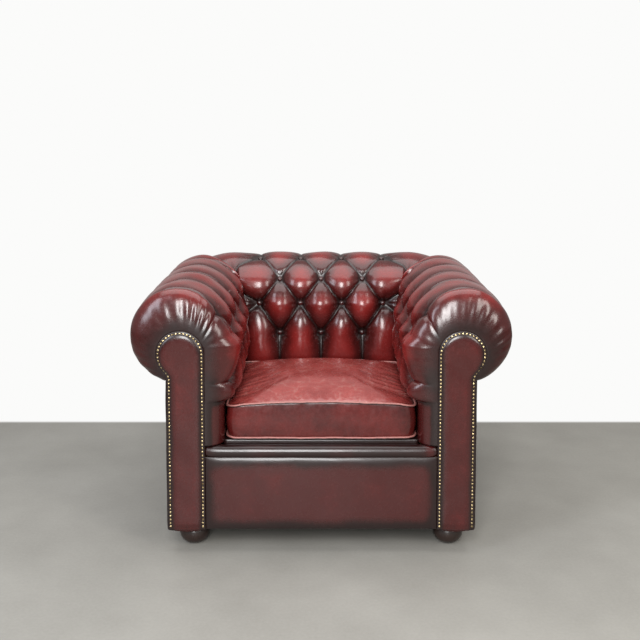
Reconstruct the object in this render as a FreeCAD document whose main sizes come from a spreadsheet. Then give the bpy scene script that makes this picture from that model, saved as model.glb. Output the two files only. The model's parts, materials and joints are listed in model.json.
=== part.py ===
import FreeCAD, Part
import math
import os
from collections import namedtuple

import Sketcher
from FreeCAD import Placement, Rotation, Vector

# Deep-buttoned armchair with rolled arms and back, in millimetres.
# +X is the sitter's left (the viewer's right), -Y is the front, +Z is up.
# The origin lies under the middle of the chair, on the floor.

SIZES = {
    # whole chair
    "overall_depth": 868,
    "roll_spacing": 800,
    "roll_height": 605,
    "foot_height": 65,
    # padded roll and tufted walls
    "seat_radius": 113,
    "roll_crown": 15,
    "wall_crown": 44,
    "wall_depth": 116,
    "front_lean": 12,
    "row_crest_angle": 75,
    "row_top_angle": 27,
    "row_middle_height": 575,
    "row_low_height": 474,
    "arm_tuck_drop": 50,
    "back_tuck_drop": 74,
    "arm_tuck_height": "=row_low_height - arm_tuck_drop",
    "back_tuck_height": "=row_low_height - back_tuck_drop",
    "button_seat": 12,
    "leather": 2,
    "soft_gap": 0.3,
    "nose_depth": 45,
    "front_pleat": 70,
    "corner_radius": 120,
    "corner_fill": 0.15,
    "arm_columns": 4,
    "back_columns": 4,
    "pad_bottom": 301.5,
    "panel_clearance": 0.6,
    "padding_margin": 4.5,
    "padding_step": 3,
    # front scroll facing
    "facing_inner": 327,
    "facing_outer": 416,
    "facing_head_radius": 59.5,
    "facing_head_height": 557,
    "facing_hook_radius": 41,
    "facing_rim": 6,
    "facing_plate": 3,
    "facing_dome": 5,
    "facing_fillet": 4,
    "scroll_edge": 4,
    "nail_pitch": 10,
    "nail_radius": 4.3,
    "nail_height": 2.6,
    # timber frame
    "rail_thickness": 28,
    "rail_top": 262,
    "post_width": 50,
    "post_depth": 45,
    "frame_outset": 22,
    "frame_side": "=roll_spacing / 2 + frame_outset",
    "frame_back": "=overall_depth / 2 - seat_radius - roll_crown + frame_outset",
    "top_rail_width": 90,
    "top_rail_thickness": 28,
    "top_rail_drop": 15,
    "tacking_rail_bottom": 300,
    "tacking_rail_height": 45,
    "scroll_board": 22,
    "block_side": 62,
    "block_height": 60,
    "webbing_width": 50,
    "webbing_thickness": 1.5,
    "webbing_count": 5,
    # outside panels
    "panel_thickness": 5.4,
    "panel_top": 493.2,
    # sprung deck
    "spring_count": 5,
    "spring_spacing": 125,
    "spring_wire": 4,
    "spring_run": 42,
    "spring_pitch": 26,
    "spring_front_inset": 18,
    "spring_back_inset": 10,
    "clip_length": 26,
    "clip_width": 16,
    "clip_height": 7,
    "lining_thickness": 1.5,
    "lining_margin": 2,
    "deck_side_gap": 1,
    "deck_half_width": "=roll_spacing / 2 - wall_depth - front_lean - deck_side_gap",
    "deck_top": 309.7,
    "deck_back_gap": 1,
    "lip_radius": 19,
    "lip_half_width": 321,
    "lip_proud": 3,
    "border_inset": 1,
    # loose seat cushion
    "cushion_front": -396,
    "cushion_back": 118,
    "cushion_half_width": 262,
    "cushion_front_edge": 403,
    "cushion_back_edge": 386,
    "cushion_bottom_edge": 318,
    "cushion_crown": 48,
    "cushion_draw_in": 7,
    "cushion_flat_margin": 26,
    "piping_radius": 4,
    "piping_offset": 3.2,
    "piping_corner": 30,
    "zip_length": 480,
    "zip_rise": 34,
    "zip_height": "=cushion_bottom_edge + zip_rise",
    "zip_tape_width": 26,
    "zip_tape_thickness": 0.8,
    "zip_teeth_width": 5,
    "zip_teeth_thickness": 2,
    "slider_length": 12,
    "slider_wall": 1,
    "pull_length": 22,
    "zip_clearance": 0.3,
    # feet and fasteners
    "foot_radius": 42.5,
    "foot_plate": 7,
    "foot_plate_radius": 35,
    "foot_plate_overlap": 2,
    "foot_side": "=frame_side - block_side",
    "foot_inset": 70,
    "glide_radius": 12,
    "glide_height": 4,
    "bolt_radius": 4,
    "bolt_clearance": 0.2,
    "bolt_bottom": 28,
    "bolt_top": 118,
    "screw_radius": 2.25,
    "screw_length": 50,
    "screw_head_depth": 4,
    "cover_thickness": 1,
    "cloth_margin": 8,
    "cloth_foot_gap": 1.5,
    "button_radius": 9.5,
    "button_foot_radius": 2,
    "button_depth": 13,
    "wall_button_lift": 2,
    "roll_button_lift": 0.6,
    "button_dome": 4.5,
}

doc = FreeCAD.newDocument("RolledArmchair")
sheet = doc.addObject("Spreadsheet::Sheet", "Sizes")
for row, (alias, value) in enumerate(SIZES.items(), start=1):
    sheet.set(f"A{row}", alias.replace("_", " "))
    sheet.set(f"B{row}", str(value))
    sheet.setAlias(f"B{row}", alias)
doc.recompute()

finished = []


def value(expression):
    """Number that an expression of the size sheet works out to."""
    return float(sheet.evalExpression(str(expression)))


def size(alias):
    """One driving dimension from the size sheet."""
    return float(sheet.get(alias))


# Places shared by several pieces, as expressions of the size sheet
ROLL_SIDE = "(Sizes.roll_spacing / 2)"
PANEL_FRONT = "(-Sizes.overall_depth / 2 + Sizes.facing_plate + Sizes.facing_dome + Sizes.soft_gap)"
BACK_ROLL = "(Sizes.overall_depth / 2 - Sizes.seat_radius - Sizes.roll_crown)"
SCROLL_FRONT = f"({PANEL_FRONT} + Sizes.leather + Sizes.soft_gap)"
SCROLL_BACK = f"({SCROLL_FRONT} + Sizes.scroll_board)"
FRONT_RAIL_BACK = f"({SCROLL_BACK} + Sizes.rail_thickness)"
POST_INSIDE = "(Sizes.frame_side - Sizes.post_width)"
SIDE_RAIL_INSIDE = "(Sizes.frame_side - Sizes.rail_thickness)"
BACK_POST_FRONT = "(Sizes.frame_back - Sizes.post_width)"
BACK_RAIL_FRONT = "(Sizes.frame_back - Sizes.rail_thickness)"
FRONT_POST_BACK = f"({SCROLL_BACK} + Sizes.post_depth)"
TOP_RAIL_INSIDE = f"({ROLL_SIDE} - Sizes.top_rail_width / 2)"
TOP_RAIL_OUTSIDE = f"({ROLL_SIDE} + Sizes.top_rail_width / 2)"
TOP_RAIL_BOTTOM = "(Sizes.roll_height - Sizes.top_rail_drop)"
TOP_RAIL_TOP = f"({TOP_RAIL_BOTTOM} + Sizes.top_rail_thickness)"
TOP_RAIL_BACK = f"({BACK_ROLL} + Sizes.top_rail_width / 2)"
BACK_TOP_RAIL_FRONT = f"({BACK_ROLL} - Sizes.top_rail_width / 2)"
PAD_BOTTOM = "Sizes.pad_bottom"
TACKING_TOP = "(Sizes.tacking_rail_bottom + Sizes.tacking_rail_height)"
PANEL_OUTSIDE = "(Sizes.frame_side + Sizes.soft_gap + Sizes.panel_thickness)"
LIP_CENTRE = f"({PANEL_FRONT} - Sizes.lip_proud + Sizes.lip_radius)"
CUSHION_BOTTOM = "(Sizes.deck_top + Sizes.soft_gap)"
FOOT_SIDE = "Sizes.foot_side"
FOOT_FRONT = f"({PANEL_FRONT} + Sizes.foot_inset)"
FOOT_MIDDLE = f"(({FRONT_RAIL_BACK} + {BACK_RAIL_FRONT}) / 2)"


def finish(piece, label=None):
    """Keep a piece for export under its own label."""
    if label:
        piece.Label = label
    finished.append(piece)
    return piece


def board(label, low, high):
    """Rectangular piece between two corners, each written as three expressions."""
    piece = doc.addObject("Part::Box", label)
    for side, start, end in zip(("Length", "Width", "Height"), low, high):
        piece.setExpression(side, f"{end} - {start}")
    for axis, start in zip("xyz", low):
        piece.setExpression(f"Placement.Base.{axis}", f"{start}")
    return piece


def rod(label, radius, length, base, direction=(0, 0, 1)):
    """Round piece of one radius from a base point along a direction."""
    piece = doc.addObject("Part::Cylinder", label)
    piece.setExpression("Radius", radius)
    piece.setExpression("Height", length)
    turn = Rotation(Vector(0, 0, 1), Vector(*direction))
    piece.Placement = Placement(Vector(), turn)
    for axis, start in zip("xyz", base):
        piece.setExpression(f"Placement.Base.{axis}", f"{start}")
    return piece


def cut(label, base, *tools):
    """Base piece with every tool taken out of it."""
    tool = tools[0]
    if len(tools) > 1:
        tool = doc.addObject("Part::MultiFuse", f"{label}_tools")
        tool.Shapes = list(tools)
    piece = doc.addObject("Part::Cut", label)
    piece.Base = base
    piece.Tool = tool
    return piece


def mirror(label, source, across_y=None):
    """Copy of a piece across the chair's middle plane, or across a plane square to Y."""
    piece = doc.addObject("Part::Mirroring", label)
    piece.Source = source
    piece.Base = Vector(0, 0, 0)
    piece.Normal = Vector(1, 0, 0) if across_y is None else Vector(0, 1, 0)
    if across_y is not None:
        piece.setExpression("Base.y", across_y)
    return piece


def group(label, pieces):
    """Separate solids of one kind kept together as one node."""
    piece = doc.addObject("Part::Compound", label)
    piece.Links = pieces
    return piece


def feature(label, shape):
    """Piece whose shape is worked out below."""
    piece = doc.addObject("Part::Feature", label)
    piece.Shape = shape
    return piece


def both_sides(label, piece):
    """Finish a right-hand piece and its mirrored left-hand twin."""
    finish(piece, f"{label}_right")
    finish(mirror(f"{label}_left", piece))


# Scroll outline: straight inner line, round head, hook and straight outer line

HEAD_ANGLE = math.radians(60)


def scroll_edges(offset):
    """Edges of the scroll outline on the plane Y = 0, moved outwards by offset."""
    inner = size("facing_inner") - offset
    outer = size("facing_outer") + offset
    head_radius = size("facing_head_radius") + offset
    hook_radius = size("facing_hook_radius") - offset
    head_z = size("facing_head_height")
    head_x = inner + head_radius
    hook_x = outer + hook_radius
    reach = head_radius + hook_radius
    hook_z = head_z - math.sqrt(reach**2 - (hook_x - head_x) ** 2)
    head = Vector(head_x, 0, head_z)
    meet = Vector(hook_x - head_x, 0, hook_z - head_z).normalize()
    crown = head + Vector(math.cos(HEAD_ANGLE), 0, math.sin(HEAD_ANGLE)) * head_radius
    meeting = head + meet * head_radius
    hook_mid = (Vector(-1, 0, 0) - meet).normalize() * hook_radius
    bottom = size("foot_height")
    corners = {
        "inner_low": Vector(inner, 0, bottom),
        "inner_high": Vector(inner, 0, head_z),
        "meeting": meeting,
        "outer_high": Vector(outer, 0, hook_z),
        "outer_low": Vector(outer, 0, bottom),
    }
    return [
        Part.makeLine(corners["inner_low"], corners["inner_high"]),
        Part.Arc(corners["inner_high"], crown, meeting).toShape(),
        Part.Arc(meeting, Vector(hook_x, 0, hook_z) + hook_mid, corners["outer_high"]).toShape(),
        Part.makeLine(corners["outer_high"], corners["outer_low"]),
    ]


def scroll_plate(offset, start_y, end_y):
    """Flat plate of the scroll outline between two places along Y."""
    edges = scroll_edges(offset)
    closing = Part.makeLine(edges[-1].Vertexes[-1].Point, edges[0].Vertexes[0].Point)
    face = Part.Face(Part.Wire(edges + [closing]))
    face.translate(Vector(0, start_y, 0))
    return face.extrude(Vector(0, end_y - start_y, 0))


# Tufted padding: sections across the roll and wall, joined by ruled lofts

# A knot is a place on the button line: point and outward normal in the section's
# own axes (inwards from the roll's centre, and up), and its mate on the scroll.
Knot = namedtuple("Knot", "point normal scroll")


def flat_vector(inwards, up):
    """Vector in a section's own axes."""
    return Vector(inwards, up, 0)


def polar(radius, degrees):
    """Vector at an angle above the inward direction."""
    angle = math.radians(degrees)
    return flat_vector(radius * math.cos(angle), radius * math.sin(angle))


ROLL_CENTRE = flat_vector(0, size("roll_height"))
SCROLL_HEAD = flat_vector(
    value(f"{ROLL_SIDE} - Sizes.facing_inner - Sizes.facing_head_radius"),
    size("facing_head_height"),
)
SIDE_ANGLE = 190
SHOULDER_ANGLE = 125


def roll_knot(degrees):
    """Knot on the round part of the button line."""
    normal = polar(1, degrees)
    point = ROLL_CENTRE + normal * size("seat_radius")
    return Knot(point, normal, SCROLL_HEAD + normal * (size("facing_head_radius") + size("scroll_edge")))


def wall_knot(height, lean):
    """Knot on the upright part of the button line."""
    point = flat_vector(size("wall_depth") + lean, height)
    scroll = flat_vector(value(f"{ROLL_SIDE} - Sizes.facing_inner") + size("scroll_edge"), height)
    return Knot(point, flat_vector(1, 0), scroll)


def under_knot(inwards):
    """Knot where the roll's underside meets the outside panel."""
    drop = math.sqrt(size("seat_radius") ** 2 - inwards**2)
    point = ROLL_CENTRE + flat_vector(inwards, -drop)
    normal = flat_vector(inwards, -drop).normalize()
    outer = value(f"{ROLL_SIDE} - Sizes.facing_outer") - size("scroll_edge")
    return Knot(point, normal, flat_vector(outer, point.y))


def between(first, second, share=0.5):
    """Knot part of the way from one knot to the next."""
    point = first.point + (second.point - first.point) * share
    normal = (first.normal + (second.normal - first.normal) * share).normalize()
    scroll = first.scroll + (second.scroll - first.scroll) * share
    return Knot(point, normal, scroll)


def lifted(knot, lift, inset, fullness):
    """Point of a knot raised off the button line, drawn to the scroll at the front."""
    full = knot.point + knot.normal * (lift - inset)
    edge = knot.scroll - knot.normal * inset
    return edge + (full - edge) * fullness


Rows = namedtuple("Rows", "knots seats lifts tuck")
LOWER_CROWN = 1.5


def button_rows(is_back, lean):
    """Rows of buttons from the top of the roll down, with the seams beside each button."""
    roll_step = math.degrees(size("button_seat") / 2 / size("seat_radius"))
    half_seat = size("button_seat") / 2
    angles = [size("row_top_angle")]
    tuck = size("arm_tuck_height")
    if is_back:
        angles = [size("row_crest_angle")] + angles
        tuck = size("back_tuck_height")
    heights = [size("row_middle_height"), size("row_low_height")]
    knots = [roll_knot(a) for a in angles] + [wall_knot(z, lean) for z in heights]
    seats = [(roll_knot(a + roll_step), roll_knot(a - roll_step)) for a in angles]
    seats += [(wall_knot(z + half_seat, lean), wall_knot(z - half_seat, lean)) for z in heights]
    crowns = [size("roll_crown")] * (len(angles) - 1) + [size("roll_crown") * LOWER_CROWN]
    crowns += [size("wall_crown"), size("wall_crown")]
    return Rows(knots, seats, crowns, wall_knot(tuck, lean))


# Share of the full crown that each part of a section reaches
PLEAT, FOLD, QUARTER, FULL = 0.0, 0.2, 0.7, 1.0
END_ROW, ROLL_QUARTER, UNDERSIDE = 0.9, 0.8, 0.8
TUCK_BY_BUTTON, TUCK_FREE = 0.15, 0.8
Station = namedtuple("Station", "kind origin outward stretch fullness lean under")


def section_corners(rows, kind):
    """Boundary knots with their lifts, and the middle knots between them."""
    count = len(rows.knots)
    corners, middles = [], []
    for index in range(count + 1):
        first, last = index == 0, index == count
        row = min(index, count - 1)
        sewn = kind in ("even", "odd") and (row % 2 == 0) == (kind == "even")
        share = {"quarter": QUARTER, "crease": PLEAT, "corner": PLEAT}.get(kind, FULL)
        if first or last:
            edge = rows.seats[row][1 if last else 0]
            corners.append((edge, 0) if sewn else (rows.knots[row], rows.lifts[row] * share))
        elif kind in ("even", "odd"):
            edge = rows.seats[index][0] if sewn else rows.seats[index - 1][1]
            corners.append((edge, 0))
        else:
            lift = (rows.lifts[index] + rows.lifts[index - 1]) / 2
            share = {"quarter": FOLD}.get(kind, share)
            corners.append((between(rows.knots[index - 1], rows.knots[index]), lift * share))
    for index in range(count):
        sewn = kind in ("even", "odd") and (index % 2 == 0) == (kind == "even")
        share = {"quarter": QUARTER, "crease": PLEAT, "corner": PLEAT}.get(kind, FULL)
        if sewn:
            middles.append(None)
        elif index in (0, count - 1):
            middle = between(corners[index][0], corners[index + 1][0])
            middles.append((middle, rows.lifts[index] * share * END_ROW))
        else:
            middles.append((rows.knots[index], rows.lifts[index] * share))
    return corners, middles


def section_points(station, is_back, inset):
    """Start, middle and end of each edge across the pad, from underside to bottom."""
    rows = button_rows(is_back, station.lean)
    corners, middles = section_corners(rows, station.kind)
    sewn_first = corners[0][1] == 0
    sewn_last = corners[-1][1] == 0
    crown = size("roll_crown")
    roll_share = {"quarter": ROLL_QUARTER}.get(station.kind, FULL)
    if sewn_first and station.kind != "corner":
        roll_share = PLEAT
    roll_lift = crown * roll_share
    under = under_knot(station.under)
    side, shoulder = roll_knot(SIDE_ANGLE), roll_knot(SHOULDER_ANGLE)
    bottom = wall_knot(value(PAD_BOTTOM), station.lean)
    low = TUCK_BY_BUTTON if sewn_last else TUCK_FREE
    low = PLEAT if station.kind in ("crease", "corner") else low
    first_knot = corners[0][0]
    roll_angle = math.degrees(math.atan2(*(first_knot.point - ROLL_CENTRE)[1::-1]))
    start_angle = 360 + math.degrees(math.atan2(under.normal.y, under.normal.x))
    underside = (roll_knot((start_angle + SIDE_ANGLE) / 2), roll_lift * UNDERSIDE)
    outside = (roll_knot((SIDE_ANGLE + SHOULDER_ANGLE) / 2), roll_lift)
    over = (roll_knot((SHOULDER_ANGLE + roll_angle) / 2), roll_lift)
    edges = [
        ((under, 0), underside, (side, roll_lift)),
        ((side, roll_lift), outside, (shoulder, roll_lift)),
        ((shoulder, roll_lift), over, corners[0]),
    ]
    edges += [(corners[i], middles[i], corners[i + 1]) for i in range(len(middles))]
    tuck = (rows.tuck, 0)
    low_middle = between(corners[-1][0], rows.tuck)
    edges.append((corners[-1], (low_middle, rows.lifts[-1] * low), tuck))
    edges.append((tuck, None, (bottom, 0)))
    return [
        [None if place is None else lifted(place[0], place[1], inset, station.fullness) for place in edge]
        for edge in edges
    ]


def in_room(station, point):
    """Point of a section placed in the chair."""
    reach = (size("corner_radius") - point.x) * station.stretch
    place = station.origin + station.outward * reach
    return Vector(place.x, place.y, point.y)


STRAIGHT_ENOUGH = 0.05


def curve_edge(station, start, middle, end):
    """Arc through three points, or a line where they are in line."""
    a, b = in_room(station, start), in_room(station, end)
    if middle is None:
        return Part.makeLine(a, b)
    c = in_room(station, middle)
    sagitta = (c - a).cross(b - a).Length / (b - a).Length
    if sagitta < STRAIGHT_ENOUGH:
        return Part.makeLine(a, b)
    return Part.Arc(a, c, b).toShape()


def outer_edges(station, is_back, inset):
    """Edges of a section's show side."""
    return [curve_edge(station, *points) for points in section_points(station, is_back, inset)]


def polyline(points):
    """Straight edges joining a list of points."""
    return [Part.makeLine(a, b) for a, b in zip(points, points[1:])]


def ends(edges):
    """First and last point of a run of edges."""
    return edges[0].Vertexes[0].Point, edges[-1].Vertexes[-1].Point


def cover_wire(station, is_back):
    """Section of the leather: show side, and the same line one hide further in."""
    outside = outer_edges(station, is_back, 0)
    inside = outer_edges(station, is_back, size("leather"))
    top, bottom = ends(outside)
    inner_top, inner_bottom = ends(inside)
    closing = [Part.makeLine(bottom, inner_bottom)]
    back_run = [curve_reverse(edge) for edge in reversed(inside)]
    return Part.Wire(outside + closing + back_run + [Part.makeLine(inner_top, top)])


def curve_reverse(edge):
    """Same edge run from its end to its start."""
    first, last = edge.Vertexes[0].Point, edge.Vertexes[-1].Point
    if isinstance(edge.Curve, Part.Line) or isinstance(edge.Curve, Part.LineSegment):
        return Part.makeLine(last, first)
    middle = edge.valueAt((edge.FirstParameter + edge.LastParameter) / 2)
    return Part.Arc(last, middle, first).toShape()


def padding_wire(station, is_back):
    """Section of the stuffing: just under the leather, closed along the frame."""
    outside = outer_edges(station, is_back, size("leather") + size("soft_gap"))
    top, bottom = ends(outside)
    frame_line = value(f"{ROLL_SIDE} - {POST_INSIDE}") + size("webbing_thickness") + size("soft_gap")
    rail_line = value(TOP_RAIL_BOTTOM) - size("soft_gap")
    outer_line = station.under + size("padding_margin")
    corners = [
        flat_vector(frame_line, value(PAD_BOTTOM)),
        flat_vector(frame_line, rail_line),
        flat_vector(outer_line, rail_line),
        flat_vector(outer_line, top.z + size("padding_step")),
    ]
    inside = [in_room(station, corner) for corner in corners]
    return Part.Wire(outside + polyline([bottom] + inside + [top]))


def loft(wires):
    """Solid ruled from each section to the next."""
    return Part.makeLoft(wires, True, True)


def corner_station(kind, degrees):
    """Section turned about the upright axis of the right-hand back corner."""
    angle = math.radians(degrees)
    stretch = 1 + size("corner_fill") * math.sin(2 * angle) ** 2
    axis_x = value(ROLL_SIDE) - size("corner_radius")
    axis_y = value(BACK_ROLL) - size("corner_radius")
    outward = Vector(math.cos(angle), math.sin(angle), 0)
    panel_reach = value("Sizes.frame_side + Sizes.panel_thickness + Sizes.panel_clearance") - axis_x
    under = size("corner_radius") - panel_reach / max(outward.x, outward.y) / stretch
    return Station(kind, Vector(axis_x, axis_y, 0), outward, stretch, 1, 0, under)


def arm_station(kind, y, fullness=1):
    """Section across the right-hand arm at a place along Y."""
    axis_x = value(ROLL_SIDE) - size("corner_radius")
    pleat_y = value(f"{PANEL_FRONT} + Sizes.front_pleat")
    corner_y = value(BACK_ROLL) - size("corner_radius")
    lean = size("front_lean") * min(1, (corner_y - y) / (corner_y - pleat_y))
    under = value(f"{ROLL_SIDE} - Sizes.frame_side - Sizes.panel_thickness - Sizes.panel_clearance")
    return Station(kind, Vector(axis_x, y, 0), Vector(1, 0, 0), 1, fullness, lean, under)


QUARTERS = ("even", "quarter", "odd", "quarter")
NOSE_SHARES = (0.05, 0.18, 0.36, 0.62, 1)


def arm_stations():
    """Sections of the right-hand arm from the front scroll to the back corner."""
    front = value(PANEL_FRONT)
    nose = size("nose_depth")
    stations = []
    for depth in NOSE_SHARES:
        fullness = math.sqrt(1 - (1 - depth) ** 2)
        kind = "quarter" if depth == NOSE_SHARES[-1] else "plain"
        stations.append(arm_station(kind, front + depth * nose, fullness))
    start = front + size("front_pleat")
    end = value(BACK_ROLL) - size("corner_radius")
    count = int(size("arm_columns") * len(QUARTERS))
    for index in range(count):
        y = start + (end - start) * index / count
        stations.append(arm_station(QUARTERS[index % len(QUARTERS)], y))
    stations.append(corner_station("crease", 0))
    stations.append(corner_station("corner", 15))
    stations.append(corner_station("corner", 30))
    stations.append(corner_station("crease", 45))
    return stations


def mirrored(station):
    """The same section on the other side of the chair."""
    origin = Vector(-station.origin.x, station.origin.y, 0)
    outward = Vector(-station.outward.x, station.outward.y, 0)
    return station._replace(origin=origin, outward=outward)


def back_stations():
    """Sections of the back from its right-hand mitre to its left-hand one."""
    turning = [
        corner_station("crease", 45),
        corner_station("corner", 60),
        corner_station("corner", 75),
    ]
    start = value(ROLL_SIDE) - size("corner_radius")
    axis_y = value(BACK_ROLL) - size("corner_radius")
    under = corner_station("crease", 90).under
    straight = []
    order = ("odd", "quarter", "even", "quarter")
    count = int(size("back_columns") * len(order))
    for index in range(count + 1):
        x = start * (1 - 2 * index / count)
        kind = "corner" if index in (0, count) else order[index % len(order)]
        straight.append(Station(kind, Vector(x, axis_y, 0), Vector(0, 1, 0), 1, 1, 0, under))
    return turning + straight + [mirrored(station) for station in reversed(turning)]


def arm_leather():
    """Right-hand arm leather with its edge turned on to the front plane."""
    station = ARM_STATIONS[0]
    shell = loft([cover_wire(station, False) for station in ARM_STATIONS])
    outside = outer_edges(station, False, 0)
    top, bottom = ends(outside)
    middle = (size("facing_inner") + size("facing_outer")) / 2
    closing = [bottom, Vector(middle, bottom.y, bottom.z), Vector(middle, bottom.y, top.z), top]
    skin = Part.Face(Part.Wire(outside + polyline(closing))).extrude(Vector(0, -size("leather"), 0))
    reach = size("nose_depth")
    skin = skin.cut(scroll_plate(-size("facing_rim"), bottom.y - reach, bottom.y + reach))
    return shell.fuse(skin)


def pad(stations, is_back, frame):
    """Stuffing solid with room for the timber it is built over."""
    stuffing = loft([padding_wire(station, is_back) for station in stations])
    return stuffing.cut(frame)


def grown(piece, clearance):
    """Box of a rectangular piece with a clearance all round."""
    box = piece.Shape.BoundBox
    low = Vector(box.XMin, box.YMin, box.ZMin) - Vector(clearance, clearance, clearance)
    sides = [length + 2 * clearance for length in (box.XLength, box.YLength, box.ZLength)]
    return Part.makeBox(*sides, low)


# Timber frame

back_top_rail = finish(
    board(
        "back_top_rail",
        (f"-{TOP_RAIL_INSIDE}", BACK_TOP_RAIL_FRONT, TOP_RAIL_BOTTOM),
        (TOP_RAIL_INSIDE, TOP_RAIL_BACK, TOP_RAIL_TOP),
    )
)
arm_top_rail = board(
    "arm_top_rail",
    (TOP_RAIL_INSIDE, SCROLL_BACK, TOP_RAIL_BOTTOM),
    (TOP_RAIL_OUTSIDE, TOP_RAIL_BACK, TOP_RAIL_TOP),
)
front_post = board(
    "arm_post_front",
    (POST_INSIDE, SCROLL_BACK, "Sizes.foot_height"),
    ("Sizes.frame_side", FRONT_POST_BACK, TOP_RAIL_BOTTOM),
)
back_post = board(
    "back_post",
    (POST_INSIDE, BACK_POST_FRONT, "Sizes.foot_height"),
    ("Sizes.frame_side", "Sizes.frame_back", TOP_RAIL_BOTTOM),
)
side_rail = board(
    "seat_side_rail",
    (SIDE_RAIL_INSIDE, FRONT_POST_BACK, "Sizes.foot_height"),
    ("Sizes.frame_side", BACK_POST_FRONT, "Sizes.rail_top"),
)
arm_tacking_rail = board(
    "arm_tacking_rail",
    (POST_INSIDE, FRONT_POST_BACK, "Sizes.tacking_rail_bottom"),
    ("Sizes.frame_side", BACK_POST_FRONT, TACKING_TOP),
)
finish(
    board(
        "seat_front_rail",
        (f"-{POST_INSIDE}", SCROLL_BACK, "Sizes.foot_height"),
        (POST_INSIDE, FRONT_RAIL_BACK, "Sizes.rail_top"),
    )
)
finish(
    board(
        "seat_back_rail",
        (f"-{POST_INSIDE}", BACK_RAIL_FRONT, "Sizes.foot_height"),
        (POST_INSIDE, "Sizes.frame_back", "Sizes.rail_top"),
    )
)
finish(
    board(
        "back_tacking_rail",
        (f"-{POST_INSIDE}", BACK_POST_FRONT, "Sizes.tacking_rail_bottom"),
        (POST_INSIDE, "Sizes.frame_back", TACKING_TOP),
    )
)
doc.recompute()
scroll_board = feature(
    "scroll_board", scroll_plate(size("scroll_edge"), value(SCROLL_FRONT), value(SCROLL_BACK))
)
for label, piece in (
    ("arm_top_rail", arm_top_rail),
    ("arm_post_front", front_post),
    ("back_post", back_post),
    ("seat_side_rail", side_rail),
    ("arm_tacking_rail", arm_tacking_rail),
    ("scroll_board", scroll_board),
):
    both_sides(label, piece)


def corner_block():
    """Triangular glue block with a hole for the foot's bolt."""
    body = doc.addObject("PartDesign::Body", "corner_block")
    plane = next(f for f in body.Origin.OriginFeatures if f.Role == "XY_Plane")
    sketch = body.newObject("Sketcher::SketchObject", "corner_block_outline")
    sketch.AttachmentSupport = [(plane, "")]
    sketch.MapMode = "FlatFace"
    side = size("block_side")
    corners = [Vector(0, 0, 0), Vector(-side, 0, 0), Vector(0, side, 0)]
    for start, end in zip(corners, corners[1:] + corners[:1]):
        sketch.addGeometry(Part.LineSegment(start, end), False)
    for index in range(3):
        sketch.addConstraint(Sketcher.Constraint("Coincident", index, 2, (index + 1) % 3, 1))
    sketch.addConstraint(Sketcher.Constraint("Coincident", 0, 1, -1, 1))
    sketch.addConstraint(Sketcher.Constraint("Horizontal", 0))
    sketch.addConstraint(Sketcher.Constraint("Vertical", 2))
    for edge, name in ((0, "width"), (2, "depth")):
        number = sketch.addConstraint(Sketcher.Constraint("Distance", edge, side))
        sketch.renameConstraint(number, name)
        sketch.setExpression(f"Constraints.{name}", "Sizes.block_side")
    pad_feature = body.newObject("PartDesign::Pad", "corner_block_pad")
    pad_feature.Profile = sketch
    pad_feature.setExpression("Length", "Sizes.block_height")
    body.setExpression("Placement.Base.x", POST_INSIDE)
    body.setExpression("Placement.Base.y", FRONT_RAIL_BACK)
    body.setExpression("Placement.Base.z", "Sizes.foot_height")
    hole = rod(
        "corner_block_hole",
        "Sizes.bolt_radius + Sizes.bolt_clearance",
        "2 * Sizes.block_height",
        (FOOT_SIDE, FOOT_FRONT, "Sizes.foot_height - Sizes.block_height / 2"),
    )
    return cut("corner_block_front", body, hole)


def four_corners(label, piece):
    """Front right-hand piece with its copies at the other three corners."""
    left = mirror(f"{label}_front_left", piece)
    back = [mirror(f"{copy.Name}_back", copy, FOOT_MIDDLE) for copy in (piece, left)]
    return [piece, left] + back


finish(group("corner_blocks", four_corners("corner_block", corner_block())))
screw_level = "Sizes.foot_height + Sizes.block_height"
screws = [
    rod(
        f"block_screw_{level}",
        "Sizes.screw_radius",
        "Sizes.screw_length",
        (
            f"{POST_INSIDE} - Sizes.block_side / 2",
            f"{FRONT_RAIL_BACK} + Sizes.block_side / 2 - Sizes.screw_length + Sizes.screw_head_depth",
            f"Sizes.foot_height + Sizes.block_height * {share}",
        ),
        (0, 1, 0),
    )
    for level, share in (("low", 0.25), ("high", 0.75))
]
finish(group("corner_block_screws", [copy for screw in screws for copy in four_corners(screw.Name, screw)]))


# Webbing on the inside of the arms and back


def webbing(label, along, low, high, place):
    """Row of upright jute strips between two places along one axis."""
    strips = []
    count = int(size("webbing_count"))
    for index in range(count):
        centre = f"({low} + ({high} - {low}) * {(index + 0.5) / count})"
        edges = (f"({centre} - Sizes.webbing_width / 2)", f"({centre} + Sizes.webbing_width / 2)")
        faces = (f"({place} - Sizes.webbing_thickness)", place)
        first, second = (edges, faces) if along == "x" else (faces, edges)
        strips.append(
            board(
                f"{label}_strip_{index + 1}",
                (first[0], second[0], "Sizes.tacking_rail_bottom"),
                (first[1], second[1], TOP_RAIL_BOTTOM),
            )
        )
    return group(label, strips)


both_sides("arm_webbing", webbing("arm_webbing", "y", FRONT_POST_BACK, BACK_POST_FRONT, POST_INSIDE))
finish(webbing("back_webbing", "x", f"(-{POST_INSIDE})", POST_INSIDE, BACK_POST_FRONT))


# Sprung deck under the cushion

SPRING_FRONT = f"({SCROLL_BACK} + Sizes.spring_front_inset)"
SPRING_BACK = f"({BACK_RAIL_FRONT} + Sizes.spring_back_inset)"
WIRE_LEVEL = "(Sizes.rail_top + Sizes.spring_wire / 2 + Sizes.bolt_clearance)"


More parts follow.
